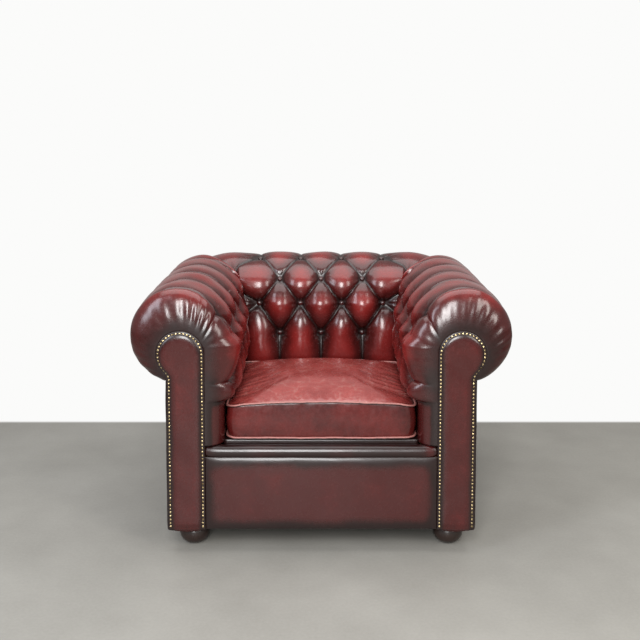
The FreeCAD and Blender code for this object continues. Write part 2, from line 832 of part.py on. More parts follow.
def zigzag_spring(x):
    """Sinuous wire from the front rail to the back rail, in straight runs and half turns."""
    start, end = value(SPRING_FRONT), value(SPRING_BACK)
    level = value(WIRE_LEVEL)
    count = round((end - start) / size("spring_pitch"))
    pitch = (end - start) / count
    half_run = size("spring_run") / 2
    edges = []
    for index in range(count + 1):
        side = 1 if index % 2 == 0 else -1
        y = start + index * pitch
        near, far = Vector(x - side * half_run, y, level), Vector(x + side * half_run, y, level)
        edges.append(Part.makeLine(near, far))
        if index < count:
            turn = pitch / 2
            slant = turn / math.sqrt(2)
            middle = far + Vector(side * turn, turn, 0)
            first = far + Vector(side * slant, turn - slant, 0)
            second = far + Vector(side * slant, turn + slant, 0)
            edges.append(Part.Arc(far, first, middle).toShape())
            edges.append(Part.Arc(middle, second, far + Vector(0, pitch, 0)).toShape())
    first_point = edges[0].Vertexes[0].Point
    profile = Part.Wire(Part.makeCircle(size("spring_wire") / 2, first_point, Vector(1, 0, 0)))
    return Part.Wire(edges).makePipeShell([profile], True, False)


spring_count = int(size("spring_count"))
spring_places = [(index - (spring_count - 1) / 2) * size("spring_spacing") for index in range(spring_count)]
finish(feature("seat_springs", Part.makeCompound([zigzag_spring(x) for x in spring_places])))
clips = []
for number, x in enumerate(spring_places, start=1):
    for end, y in (("front", SPRING_FRONT), ("back", SPRING_BACK)):
        name = f"spring_clip_{end}_{number}"
        plate = board(
            f"{name}_plate",
            (f"({x} - Sizes.clip_length / 2)", f"({y} - Sizes.clip_width / 2)", "Sizes.rail_top"),
            (
                f"({x} + Sizes.clip_length / 2)",
                f"({y} + Sizes.clip_width / 2)",
                "(Sizes.rail_top + Sizes.clip_height)",
            ),
        )
        bore = rod(
            f"{name}_bore",
            "Sizes.spring_wire / 2 + Sizes.bolt_clearance / 2",
            "2 * Sizes.clip_length",
            (f"{x} - Sizes.clip_length", y, WIRE_LEVEL),
            (1, 0, 0),
        )
        clips.append(cut(name, plate, bore))
finish(group("spring_clips", clips))

LIP_BACK = f"({LIP_CENTRE} + Sizes.lip_radius + Sizes.soft_gap)"
DECK_BACK = f"({BACK_ROLL} - Sizes.wall_depth - Sizes.deck_back_gap)"
LINING_BACK = "(Sizes.frame_back - 2 * Sizes.lining_margin)"
LINING_BOTTOM = "(Sizes.rail_top + Sizes.clip_height + Sizes.bolt_clearance)"
LINING_TOP = f"({LINING_BOTTOM} + Sizes.lining_thickness)"
DECK_PAD_TOP = "(Sizes.deck_top - Sizes.leather - Sizes.soft_gap)"
finish(
    board(
        "deck_lining",
        (f"(-{POST_INSIDE} + Sizes.lining_margin)", LIP_BACK, LINING_BOTTOM),
        (f"({POST_INSIDE} - Sizes.lining_margin)", LINING_BACK, LINING_TOP),
    )
)
finish(
    board(
        "deck_pad",
        ("-Sizes.deck_half_width", LIP_BACK, f"({LINING_TOP} + Sizes.soft_gap)"),
        ("Sizes.deck_half_width", DECK_BACK, DECK_PAD_TOP),
    )
)
finish(
    board(
        "deck_cover",
        ("-Sizes.deck_half_width", LIP_BACK, f"({DECK_PAD_TOP} + Sizes.soft_gap)"),
        ("Sizes.deck_half_width", DECK_BACK, "Sizes.deck_top"),
    )
)
finish(
    rod(
        "front_lip_roll",
        "Sizes.lip_radius",
        "2 * Sizes.lip_half_width",
        ("-Sizes.lip_half_width", LIP_CENTRE, "Sizes.rail_top + Sizes.lip_radius + Sizes.soft_gap"),
        (1, 0, 0),
    )
)

# Front border under the lip

BORDER_SIDE = "(Sizes.facing_inner - Sizes.scroll_edge - Sizes.soft_gap)"
BORDER_FRONT = f"({PANEL_FRONT} + Sizes.border_inset)"
BORDER_PAD_FRONT = f"({BORDER_FRONT} + Sizes.leather + Sizes.soft_gap)"
finish(
    board(
        "front_border_pad",
        (f"(-{BORDER_SIDE})", BORDER_PAD_FRONT, "Sizes.foot_height"),
        (BORDER_SIDE, SCROLL_BACK, "Sizes.rail_top"),
    )
)
finish(
    board(
        "front_border_cover",
        (f"(-{BORDER_SIDE})", BORDER_FRONT, "Sizes.foot_height"),
        (BORDER_SIDE, f"({BORDER_FRONT} + Sizes.leather)", "Sizes.rail_top"),
    )
)

# Tufted arms and back

ARM_STATIONS = arm_stations()
BACK_STATIONS = back_stations()
timber = [grown(piece, size("soft_gap")) for piece in (back_top_rail, arm_top_rail)]
timber.append(timber[1].mirror(Vector(), Vector(1, 0, 0)))
scroll_room = scroll_plate(
    size("scroll_edge") + size("soft_gap"), value(PANEL_FRONT), value(SCROLL_BACK) + size("soft_gap")
)
both_sides("arm_padding", feature("arm_padding", pad(ARM_STATIONS, False, timber + [scroll_room])))
finish(feature("back_padding", pad(BACK_STATIONS, True, timber)))
both_sides("arm_cover", feature("arm_cover", arm_leather()))
finish(feature("back_cover", loft([cover_wire(station, True) for station in BACK_STATIONS])))


def button_shape():
    """Leather-covered button: tapered underside and domed top, from its seat up along Z."""
    foot, radius = size("button_foot_radius"), size("button_radius")
    depth, dome = size("button_depth"), size("button_dome")
    rim = Vector(radius, 0, depth)
    crown = Vector(0, 0, depth + dome)
    curve_radius = (radius**2 + dome**2) / (2 * dome)
    centre = Vector(0, 0, depth + dome - curve_radius)
    middle = centre + (rim + crown - centre * 2).normalize() * curve_radius
    edges = polyline([crown, Vector(), Vector(foot, 0, 0), rim])
    edges.append(Part.Arc(rim, middle, crown).toShape())
    return Part.Face(Part.Wire(edges)).revolve(Vector(), Vector(0, 0, 1), 360)


def button_at(station, knot):
    """Button seated on a knot of one section, facing out of the leather."""
    lift = size("roll_button_lift" if knot.normal.y else "wall_button_lift")
    seat = in_room(station, lifted(knot, lift, 0, 1))
    direction = Vector(0, 0, knot.normal.y) - station.outward * knot.normal.x
    button = button_shape()
    button.Placement = Placement(seat, Rotation(Vector(0, 0, 1), direction))
    return button


def buttons_on(stations, is_back):
    """One button on every sewn place of every buttoned section."""
    buttons = []
    for station in stations:
        if station.kind in ("even", "odd"):
            knots = button_rows(is_back, station.lean).knots
            first = 0 if station.kind == "even" else 1
            buttons += [button_at(station, knot) for knot in knots[first::2]]
    return buttons


corner = corner_station("crease", 45)
corner_knot = button_rows(False, 0).knots[0]
corner_buttons = [button_at(station, corner_knot) for station in (corner, mirrored(corner))]
both_sides("tuft_buttons", feature("tuft_buttons", Part.makeCompound(buttons_on(ARM_STATIONS, False))))
finish(feature("tuft_buttons_back", Part.makeCompound(buttons_on(BACK_STATIONS, True) + corner_buttons)))

# Outside panels

panel = board(
    "outside_arm_panel",
    ("(Sizes.frame_side + Sizes.soft_gap)", PANEL_FRONT, "Sizes.foot_height"),
    (PANEL_OUTSIDE, "Sizes.frame_back", "Sizes.panel_top"),
)
both_sides("outside_arm_panel", panel)
finish(
    board(
        "outside_back_panel",
        (f"(-{PANEL_OUTSIDE})", "(Sizes.frame_back + Sizes.soft_gap)", "Sizes.foot_height"),
        (PANEL_OUTSIDE, "(Sizes.frame_back + Sizes.soft_gap + Sizes.panel_thickness)", "Sizes.panel_top"),
    )
)


def facing():
    """Padded leather facing: flat rim for the nails, and a domed middle."""
    back = value(PANEL_FRONT) - size("soft_gap")
    rim_front = back - size("facing_plate")
    rim = scroll_plate(size("facing_rim"), rim_front, back)
    dome = scroll_plate(-size("facing_rim"), rim_front - size("facing_dome"), rim_front)
    front_edges = [
        edge
        for edge in dome.Edges
        if abs(edge.BoundBox.YMax - dome.BoundBox.YMin) < 0.01 and edge.BoundBox.YLength < 0.01
    ]
    return rim.fuse(dome.makeFillet(size("facing_fillet"), front_edges)).removeSplitter()


def nails():
    """Domed nail heads at an even pitch round the facing."""
    line = Part.Wire(scroll_edges(0))
    radius, height = size("nail_radius"), size("nail_height")
    sphere = (radius**2 + height**2) / (2 * height)
    front = value(PANEL_FRONT) - size("soft_gap") - size("facing_plate")
    edge_angle = math.degrees(math.asin((sphere - height) / sphere))
    count = round(line.Length / size("nail_pitch"))
    heads = []
    for place in line.discretize(Number=count)[1:-1]:
        centre = Vector(place.x, front + sphere - height, place.z)
        heads.append(Part.makeSphere(sphere, centre, Vector(0, -1, 0), edge_angle, 90, 360))
    return Part.makeCompound(heads)


both_sides("facing_cover", feature("facing_cover", facing()))
both_sides("facing_nails", feature("facing_nails", nails()))

# Loose seat cushion


def cushion_wire(y, half_width, crown, inset):
    """Section of the cushion: flat base, drawn-in sides and crowned top."""
    share = (y - size("cushion_front")) / (size("cushion_back") - size("cushion_front"))
    edge = size("cushion_front_edge") + (size("cushion_back_edge") - size("cushion_front_edge")) * share
    side, low, high = half_width - inset, size("cushion_bottom_edge") + inset, edge - inset
    margin = size("cushion_flat_margin")
    from_end = min(y - size("cushion_front"), size("cushion_back") - y) - inset
    base = low - (low - value(CUSHION_BOTTOM) - inset) * min(1, max(0, from_end) / margin)
    flat = side - margin
    draw = side - size("cushion_draw_in")
    waist = (low + high) / 2
    top = Part.makeLine(Vector(side, y, high), Vector(-side, y, high))
    if crown:
        top = Part.Arc(Vector(side, y, high), Vector(0, y, high + crown), Vector(-side, y, high)).toShape()
    return Part.Wire(
        [
            Part.makeLine(Vector(-flat, y, base), Vector(flat, y, base)),
            Part.makeLine(Vector(flat, y, base), Vector(side, y, low)),
            Part.Arc(Vector(side, y, low), Vector(draw, y, waist), Vector(side, y, high)).toShape(),
            top,
            Part.Arc(Vector(-side, y, high), Vector(-draw, y, waist), Vector(-side, y, low)).toShape(),
            Part.makeLine(Vector(-side, y, low), Vector(-flat, y, base)),
        ]
    )


CORNER_SHARES = (0, 0.12, 0.4, 1)
LENGTH_SHARES = (0.15, 0.3, 0.5, 0.7, 0.85)
SWELL_POWER = 0.6


def cushion_shape(inset):
    """Crowned box cushion, each face moved in by inset."""
    front, back = size("cushion_front") + inset, size("cushion_back") - inset
    corner = size("piping_corner") - inset
    depth = back - front
    near = [corner * share for share in CORNER_SHARES]
    middle = [depth * share for share in LENGTH_SHARES]
    wires = []
    for place in near + middle + [depth - x for x in reversed(near)]:
        from_end = min(place, depth - place)
        rounding = corner - math.sqrt(max(0, corner**2 - max(0, corner - from_end) ** 2))
        swell = math.sin(math.pi * place / depth) ** SWELL_POWER if from_end else 0
        crown = size("cushion_crown") * swell
        wires.append(cushion_wire(front + place, size("cushion_half_width") - rounding, crown, inset))
    return loft(wires)


def piping(front_level, back_level):
    """Round welt along a rounded rectangle, from the front seam's level to the back seam's."""
    offset, corner = size("piping_offset"), size("piping_corner") + size("piping_offset")
    side = size("cushion_half_width") + offset
    front, back = size("cushion_front") - offset, size("cushion_back") + offset
    slope = math.atan2(back_level - front_level, back - front)
    depth = (back - front) / math.cos(slope)
    edges = []
    centres = [(side - corner, corner), (side - corner, depth - corner)]
    centres += [(corner - side, depth - corner), (corner - side, corner)]
    for quarter, (x, y) in enumerate(centres):
        start = math.radians(90 * (quarter - 1))
        centre = Vector(x, y, 0)
        bend = [
            centre + Vector(math.cos(start + step), math.sin(start + step), 0) * corner
            for step in (0, math.pi / 4, math.pi / 2)
        ]
        if edges:
            edges.append(Part.makeLine(edges[-1].Vertexes[-1].Point, bend[0]))
        edges.append(Part.Arc(*bend).toShape())
    edges.append(Part.makeLine(edges[-1].Vertexes[-1].Point, edges[0].Vertexes[0].Point))
    path = Part.Wire(edges)
    start = path.Edges[0].Vertexes[0].Point
    profile = Part.Wire(Part.makeCircle(size("piping_radius"), start, Vector(1, 0, 0)))
    welt = path.makePipeShell([profile], True, False)
    turn = Rotation(Vector(1, 0, 0), math.degrees(slope))
    welt.Placement = Placement(Vector(0, front, front_level), turn)
    return welt


finish(feature("cushion_core", cushion_shape(size("leather") + size("soft_gap"))))
finish(feature("cushion_cover", cushion_shape(0).cut(cushion_shape(size("leather")))))
seam_rise = size("piping_offset")
finish(
    feature(
        "cushion_piping_top",
        piping(size("cushion_front_edge") + seam_rise, size("cushion_back_edge") + seam_rise),
    )
)
low_seam = size("cushion_bottom_edge") - seam_rise
finish(feature("cushion_piping_bottom", piping(low_seam, low_seam)))

ZIP_FRONT = "(Sizes.cushion_back + Sizes.zip_clearance)"
TEETH_FRONT = f"({ZIP_FRONT} + Sizes.zip_tape_thickness)"
TEETH_BACK = f"({TEETH_FRONT} + Sizes.zip_teeth_thickness)"
tape = board(
    "zip_tape",
    ("-Sizes.zip_length / 2", ZIP_FRONT, "(Sizes.zip_height - Sizes.zip_tape_width / 2)"),
    ("Sizes.zip_length / 2", TEETH_FRONT, "(Sizes.zip_height + Sizes.zip_tape_width / 2)"),
)
teeth = board(
    "zip_teeth",
    ("-Sizes.zip_length / 2", TEETH_FRONT, "(Sizes.zip_height - Sizes.zip_teeth_width / 2)"),
    ("Sizes.zip_length / 2", TEETH_BACK, "(Sizes.zip_height + Sizes.zip_teeth_width / 2)"),
)
zip_strip = doc.addObject("Part::MultiFuse", "cushion_zip")
zip_strip.Shapes = [tape, teeth]
finish(zip_strip)

SLIDER_LOW = "(Sizes.zip_length / 2 - Sizes.zip_tape_width / 4 - Sizes.slider_length)"
SLIDER_HALF = "(Sizes.zip_teeth_width / 2 + Sizes.zip_clearance + Sizes.slider_wall)"
SLIDER_FRONT = f"({TEETH_FRONT} + Sizes.zip_clearance)"
SLIDER_BACK = f"({TEETH_BACK} + Sizes.zip_clearance + Sizes.slider_wall)"
slider_block = board(
    "slider_block",
    (SLIDER_LOW, SLIDER_FRONT, f"(Sizes.zip_height - {SLIDER_HALF})"),
    (f"({SLIDER_LOW} + Sizes.slider_length)", SLIDER_BACK, f"(Sizes.zip_height + {SLIDER_HALF})"),
)
slider_channel = board(
    "slider_channel",
    (
        f"({SLIDER_LOW} - Sizes.slider_wall)",
        f"({SLIDER_FRONT} - Sizes.slider_wall)",
        "(Sizes.zip_height - Sizes.zip_teeth_width / 2 - Sizes.zip_clearance)",
    ),
    (
        f"({SLIDER_LOW} + Sizes.slider_length + Sizes.slider_wall)",
        f"({TEETH_BACK} + Sizes.zip_clearance)",
        "(Sizes.zip_height + Sizes.zip_teeth_width / 2 + Sizes.zip_clearance)",
    ),
)
slider_shell = cut("slider_shell", slider_block, slider_channel)
slider_pull = board(
    "slider_pull",
    (
        f"({SLIDER_LOW} + Sizes.slider_length / 4)",
        SLIDER_BACK,
        f"(Sizes.zip_height - {SLIDER_HALF} - Sizes.pull_length)",
    ),
    (
        f"({SLIDER_LOW} + 3 * Sizes.slider_length / 4)",
        f"({SLIDER_BACK} + Sizes.slider_wall)",
        f"(Sizes.zip_height + {SLIDER_HALF})",
    ),
)
slider = doc.addObject("Part::MultiFuse", "zip_slider")
slider.Shapes = [slider_shell, slider_pull]
finish(slider)


# Feet, fasteners and dust cover


def bun_foot():
    """Turned bun foot with a flat base, a top plate and a blind bolt hole."""
    ball = doc.addObject("Part::Sphere", "foot_ball")
    ball.setExpression("Radius", "Sizes.foot_radius")
    ball.setExpression("Placement.Base.x", FOOT_SIDE)
    ball.setExpression("Placement.Base.y", FOOT_FRONT)
    ball.setExpression("Placement.Base.z", "(Sizes.foot_height - Sizes.foot_plate + Sizes.glide_height) / 2")
    height = "Sizes.foot_height - Sizes.glide_height"
    place = (FOOT_SIDE, FOOT_FRONT, "Sizes.glide_height")
    trim = rod("foot_trim", "2 * Sizes.foot_radius", height, place)
    bun = doc.addObject("Part::MultiCommon", "foot_bun")
    bun.Shapes = [ball, trim]
    thickness = "Sizes.foot_plate + Sizes.foot_plate_overlap"
    plate_place = (FOOT_SIDE, FOOT_FRONT, f"Sizes.foot_height - ({thickness})")
    plate = rod("foot_plate", "Sizes.foot_plate_radius", thickness, plate_place)
    body = doc.addObject("Part::MultiFuse", "foot_body")
    body.Shapes = [bun, plate]
    hole = rod(
        "foot_hole",
        "Sizes.bolt_radius + Sizes.bolt_clearance",
        "Sizes.foot_height",
        (FOOT_SIDE, FOOT_FRONT, "Sizes.bolt_bottom"),
    )
    return cut("foot", body, hole)


foot_names = ("foot_front_right", "foot_front_left", "foot_back_right", "foot_back_left")
for name, piece in zip(foot_names, four_corners("foot", bun_foot())):
    finish(piece, name)
glide = rod("foot_glide", "Sizes.glide_radius", "Sizes.glide_height", (FOOT_SIDE, FOOT_FRONT, 0))
finish(group("foot_glides", four_corners("foot_glide", glide)))
bolt = rod(
    "foot_bolt",
    "Sizes.bolt_radius",
    "Sizes.bolt_top - Sizes.bolt_bottom",
    (FOOT_SIDE, FOOT_FRONT, "Sizes.bolt_bottom"),
)
finish(group("foot_bolts", four_corners("foot_bolt", bolt)))

cloth = board(
    "dust_cloth",
    (
        "(-Sizes.frame_side + Sizes.cloth_margin)",
        f"({PANEL_FRONT} + Sizes.cloth_margin)",
        "(Sizes.foot_height - Sizes.cover_thickness)",
    ),
    (
        "(Sizes.frame_side - Sizes.cloth_margin)",
        "(Sizes.frame_back - Sizes.cloth_margin)",
        "Sizes.foot_height",
    ),
)
foot_opening = rod(
    "foot_opening",
    "Sizes.foot_radius + Sizes.cloth_foot_gap",
    "2 * Sizes.foot_plate",
    (FOOT_SIDE, FOOT_FRONT, "Sizes.foot_height - Sizes.foot_plate"),
)
finish(cut("dust_cover", cloth, *four_corners("foot_opening", foot_opening)))

# Check every object, then write one file for each piece

doc.recompute()
for item in doc.Objects:
    if "Invalid" in item.State or "Error" in item.State:
        raise RuntimeError(f"{item.Label} failed: {item.State}")
for piece in finished:
    if piece.Shape.isNull() or not piece.Shape.isValid():
        raise RuntimeError(f"{piece.Label} has no valid shape")
os.makedirs("parts", exist_ok=True)
for piece in finished:
    piece.Shape.exportStep(f"parts/{piece.Label}.step")
whole = Part.makeCompound([piece.Shape for piece in finished])
print("pieces", len(finished), "box", whole.BoundBox)
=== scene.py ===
"""Deep-buttoned leather armchair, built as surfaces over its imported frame."""
import json
import math

import bmesh
import bpy
import numpy as np
from bpy.props import FloatProperty, FloatVectorProperty, IntProperty, PointerProperty, StringProperty
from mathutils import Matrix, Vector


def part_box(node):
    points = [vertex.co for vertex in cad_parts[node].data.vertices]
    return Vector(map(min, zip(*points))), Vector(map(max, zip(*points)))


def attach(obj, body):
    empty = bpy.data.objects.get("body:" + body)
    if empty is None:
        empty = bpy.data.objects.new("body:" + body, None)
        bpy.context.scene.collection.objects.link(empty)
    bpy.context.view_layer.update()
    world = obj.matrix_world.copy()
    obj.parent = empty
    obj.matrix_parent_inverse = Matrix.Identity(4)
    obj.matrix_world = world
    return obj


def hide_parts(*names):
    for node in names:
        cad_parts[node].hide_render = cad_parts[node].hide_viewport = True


bl_info = {
    "name": "Buttoned Armchair",
    "version": (1, 0, 0),
    "blender": (4, 5, 0),
    "location": "View3D > Sidebar > Armchair",
    "description": "Builds a deep-buttoned leather armchair over its packed frame",
    "category": "Object",
}

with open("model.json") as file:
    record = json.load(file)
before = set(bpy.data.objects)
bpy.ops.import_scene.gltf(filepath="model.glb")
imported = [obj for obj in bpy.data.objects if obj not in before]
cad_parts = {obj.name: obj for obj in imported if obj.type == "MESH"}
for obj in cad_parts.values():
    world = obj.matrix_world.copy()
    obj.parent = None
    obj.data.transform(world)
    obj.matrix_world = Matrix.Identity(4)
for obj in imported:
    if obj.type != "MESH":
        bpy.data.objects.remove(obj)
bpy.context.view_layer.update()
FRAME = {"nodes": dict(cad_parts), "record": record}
CHAIR, CUSHION = "chair", "seat_cushion"


# Sizes and colours that a user would change


def length(label, description, default):
    """Property that holds a size in metres."""
    return FloatProperty(name=label, description=description, default=default, unit="LENGTH")


def shade(label, description, default):
    """Property that holds an sRGB hex colour."""
    return StringProperty(name=label, description=description, default=default)


class TuftSizes(bpy.types.PropertyGroup):
    """Sizes of the buttoned rolls and walls."""

    roll_radius: length("Roll radius", "Button line of the roll", 0.113)
    roll_height: length("Roll height", "Height of the roll's centre", 0.605)
    roll_side: length("Roll side", "Arm roll's centre from the middle", 0.4)
    roll_back: length("Roll back", "Back roll's centre behind the middle", 0.306)
    roll_crown: length("Roll crown", "Stuffing over the roll", 0.0155)
    wall_crown: length("Wall crown", "Stuffing between the wall's buttons", 0.045)
    wall_depth: length("Wall depth", "Wall's button line from the roll's centre", 0.116)
    front_lean: length("Front lean", "How far the arm's wall leans in at the front", 0.012)
    corner_radius: length("Corner radius", "Roll's turn at the back corners", 0.12)
    row_pitch: length("Arm column pitch", "Between neighbouring button columns of an arm", 0.0677)
    back_pitch: length("Back column pitch", "Between neighbouring button columns of the back", 0.07)
    front_column: length("Front column", "Place of an arm's first column", -0.3557)
    crease: FloatProperty(name="Crease", description="Sharpness of the pleats", default=0.55, min=0.2)


class ScrollSizes(bpy.types.PropertyGroup):
    """Sizes of the front scroll facings and the border between them."""

    front: length("Front plane", "Plane of the front leather", -0.4257)
    inner: length("Inner line", "Nail line of the stem's inner side", 0.327)
    outer: length("Outer line", "Nail line of the stem's outer side", 0.416)
    head_radius: length("Head radius", "Nail line of the round head", 0.0595)
    head_height: length("Head height", "Height of the head's centre", 0.557)
    hook_radius: length("Hook radius", "Hollow under the head", 0.041)
    nose_depth: length("Nose depth", "Depth over which the roll swells from the facing", 0.045)


class CushionSizes(bpy.types.PropertyGroup):
    """Sizes of the loose seat cushion."""

    half_width: length("Half width", "Middle to the side seam", 0.262)
    front: length("Front", "Front seam", -0.396)
    back: length("Back", "Back seam", 0.118)
    front_edge: length("Front edge", "Height of the top seam in front", 0.404)
    back_edge: length("Back edge", "Height of the top seam at the back", 0.388)
    low_edge: length("Low edge", "Height of the bottom seam", 0.316)
    crown: length("Crown", "Rise of the top's middle", 0.044)
    bow: length("Front bow", "Rise of the front top seam's middle", 0.011)
    voxel: length("Cloth mesh", "Mesh size of the simulated cover", 0.005)
    steps: IntProperty(name="Cloth steps", description="Frames that the cloth settles for", default=20)


class Finishes(bpy.types.PropertyGroup):
    """Colours of the leather and fittings, as sRGB hex values."""

    # darkest colour: antiquing wax in the pleats, and painted shade wherever the crest values are brought low
    # for it
    recess_wax_and_painted_shade: shade("Recess", "Antiquing wax left in the pleats", "#1a0908")
    hide: shade("Hide", "Oxblood hide", "#3d1211")
    rubbed: shade("Rubbed", "High places rubbed lighter", "#7a211f")
    seat: shade("Seat", "Sat-on hide of the cushion", "#5e1a18")
    seat_rubbed: shade("Seat rubbed", "Lightest places of the cushion", "#8f3f3b")
    # light colour of the piping: its worn dye, and the painted highlight along the cord's top; it also draws
    # the cushion's veins
    piping: shade("Piping", "Worn piping", "#96605a")
    brass: shade("Brass", "Aged brass nails", "#cdb98c")
    foot: shade("Foot", "Dark stained foot", "#1b1311")


class StageSettings(bpy.types.PropertyGroup):
    """Camera, lamps and floor."""

    focal_length: FloatProperty(name="Focal length", description="Of a 36 mm wide frame, in mm", default=51.4)
    camera_place: FloatVectorProperty(
        name="Camera", description="Camera's place", default=(-0.0034, -2.8747, 1.2005), subtype="TRANSLATION"
    )
    pitch: FloatProperty(
        name="Pitch", description="Camera's tilt below level", default=math.radians(4.61), subtype="ANGLE"
    )
    shift: FloatProperty(name="Shift", description="Camera's vertical shift", default=-0.2)
    lamp_power: FloatProperty(name="Lamp power", description="Of a lamp of share 1, in watts", default=34.0)
    sky: FloatProperty(name="Sky", description="Level of the even light", default=0.27)
    wall_place: length("Wall", "Where the floor meets the white wall", 0.65)


# Shader nodes


def tone(code):
    """Linear colour of an sRGB hex value."""
    parts = [int(code[i : i + 2], 16) / 255 for i in (1, 3, 5)]
    return tuple([p / 12.92 if p <= 0.04045 else ((p + 0.055) / 1.055) ** 2.4 for p in parts] + [1.0])


def put(tree, kind, settings, sockets):
    """Add one shader node; a socket given another node's output is linked, any other value is set."""
    item = tree.nodes.new(kind)
    for name, value in settings.items():
        setattr(item, name, value)
    for name, value in sockets.items():
        if isinstance(value, bpy.types.NodeSocket):
            tree.links.new(value, item.inputs[name])
        else:
            item.inputs[name].default_value = value
    return item


def blank(name):
    """Empty material with its node tree and object coordinates."""
    finish = bpy.data.materials.new(name)
    finish.use_nodes = True
    tree = finish.node_tree
    tree.nodes.clear()
    place = put(tree, "ShaderNodeTexCoord", {}, {}).outputs["Object"]
    return finish, tree, place


def maths(tree, operation, *values, clamp=False):
    """Result of one sum on values or outputs."""
    settings = {"operation": operation, "use_clamp": clamp}
    return put(tree, "ShaderNodeMath", settings, dict(enumerate(values))).outputs[0]


def noise(tree, place, scale, detail, roughness=0.5):
    """Level of a noise whose features are about one over the scale wide, in metres."""
    sockets = {"Vector": place, "Scale": scale, "Detail": detail, "Roughness": roughness}
    return put(tree, "ShaderNodeTexNoise", {}, sockets).outputs["Fac"]


def cell_edges(tree, place, scale):
    """Distance to the nearest edge between cells."""
    settings = {"feature": "DISTANCE_TO_EDGE"}
    return put(tree, "ShaderNodeTexVoronoi", settings, {"Vector": place, "Scale": scale}).outputs["Distance"]


def spread(tree, value, low, high, first=0.0, last=1.0, smooth=False):
    """Value moved from the range low to high into the range first to last."""
    settings = {"interpolation_type": "SMOOTHSTEP" if smooth else "LINEAR"}
    sockets = {"Value": value, "From Min": low, "From Max": high, "To Min": first, "To Max": last}
    return put(tree, "ShaderNodeMapRange", settings, sockets).outputs["Result"]


def mixture(tree, share, first, second):
    """Colour between two colours."""
    return put(tree, "ShaderNodeMix", {"data_type": "RGBA"}, {0: share, 6: first, 7: second}).outputs[2]


def relief(tree, strength, depth, height):
    """Normal bent by a height pattern."""
    sockets = {"Strength": strength, "Distance": depth, "Height": height}
    return put(tree, "ShaderNodeBump", {}, sockets).outputs[0]


def crest_level(tree):
    """The mesh's own crest values: 0 in a hollow or where shade is painted, about 1 on a rubbed crest."""
    return put(tree, "ShaderNodeAttribute", {"attribute_name": "crest"}, {}).outputs["Fac"]


def surface_output(tree, sockets):
    """Principled surface with the given sockets, joined to the output."""
    shader = put(tree, "ShaderNodeBsdfPrincipled", {}, sockets)
    put(tree, "ShaderNodeOutputMaterial", {}, {"Surface": shader.outputs["BSDF"]})


def antiqued_hide(name, dark, middle, light, veins=0.0, vein_shade="#b06a60", wear=0.0, gloss=0.24):
    """Antiqued corrected-grain hide: wax stays dark in the hollows, crests are rubbed lighter, and low crest
    values also paint shade in the dark colour.

    Pebble grain is drawn at 3.5 mm, two to three times its real size, so that it shows.
    """
    finish, tree, place = blank(name)
    crest = crest_level(tree)
    # clouds of dye about 90 mm across, and mottling about 12 mm across
    cloud = noise(tree, place, 11.0, 4.0, 0.55)
    mottle = noise(tree, place, 80.0, 5.0, 0.6)
    height = maths(tree, "MULTIPLY_ADD", cloud, 0.5, crest)
    height = maths(tree, "MULTIPLY_ADD", mottle, 0.14, height)
    to_middle = spread(tree, height, 0.4, 0.88, smooth=True)
    to_light = spread(tree, height, 0.9 - wear, 1.5 - wear, smooth=True)
    base = mixture(tree, to_middle, tone(dark), tone(middle))
    base = mixture(tree, to_light, base, tone(light))
    # veins: light cracks between plates about 50 mm across, bent by noise, in patches on the crests
    bend = put(tree, "ShaderNodeTexNoise", {}, {"Vector": place, "Scale": 22.0, "Detail": 3.0})
    bent = put(tree, "ShaderNodeMix", {"data_type": "VECTOR"}, {0: 0.085, 4: place, 5: bend.outputs["Color"]})
    line = spread(tree, cell_edges(tree, bent.outputs[1], 19.0), 0.0, 0.045, veins, 0.0)
    patchy = maths(tree, "MULTIPLY", line, spread(tree, cloud, 0.4, 0.58, smooth=True))
    patchy = maths(tree, "MULTIPLY", patchy, spread(tree, crest, 0.45, 0.7))
    colour = mixture(tree, patchy, base, tone(vein_shade))
    # grain: pebbles 3.5 mm across, creases about 10 mm apart and the mottling
    pebble = put(tree, "ShaderNodeTexVoronoi", {"feature": "F1"}, {"Vector": place, "Scale": 290.0})
    crease = spread(tree, cell_edges(tree, bent.outputs[1], 95.0), 0.0, 0.12)
    grain = maths(tree, "MULTIPLY_ADD", crease, 0.55, pebble.outputs["Distance"])
    grain = maths(tree, "MULTIPLY_ADD", mottle, 0.6, grain)
    rough = spread(tree, mottle, 0.3, 0.7, gloss - 0.06, gloss + 0.08)
    rough = spread(tree, height, 0.35, 0.7, 0.36, rough)
    sockets = {"Base Color": colour, "Roughness": rough, "Normal": relief(tree, 0.1, 0.0008, grain)}
    sockets.update({"IOR": 1.43, "Coat Weight": 0.35, "Coat Roughness": 0.16})
    surface_output(tree, sockets)
    return finish


def piping_wear_and_painted_highlight(name, dark, light):
    """Piping hide with patches of its dye rubbed off, and a painted highlight where the crest values are
    high, along the top of the cord.
    """
    finish, tree, place = blank(name)
    patch = noise(tree, place, 60.0, 5.0, 0.65)
    # wear patches, plus the crest values, which paint a highlight along the cord's top and shade under it
    wear = maths(tree, "MULTIPLY_ADD", patch, 0.9, crest_level(tree))
    wear = spread(tree, wear, 0.72, 1.25, smooth=True)
    colour = mixture(tree, wear, tone(dark), tone(light))
    normal = relief(tree, 0.3, 0.0006, patch)
    surface_output(tree, {"Base Color": colour, "Roughness": 0.5, "Normal": normal, "IOR": 1.5})
    return finish


def aged_metal(name, dark, light, roughness):
    """Struck metal with patches of tarnish a few millimetres across."""
    finish, tree, place = blank(name)
    patch = noise(tree, place, 160.0, 4.0, 0.6)
    share = spread(tree, patch, 0.35, 0.62, smooth=True)
    colour = mixture(tree, share, tone(dark), tone(light))
    rough = spread(tree, patch, 0.0, 1.0, roughness + 0.15, roughness - 0.1)
    surface_output(tree, {"Base Color": colour, "Metallic": 1.0, "Roughness": rough})
    return finish


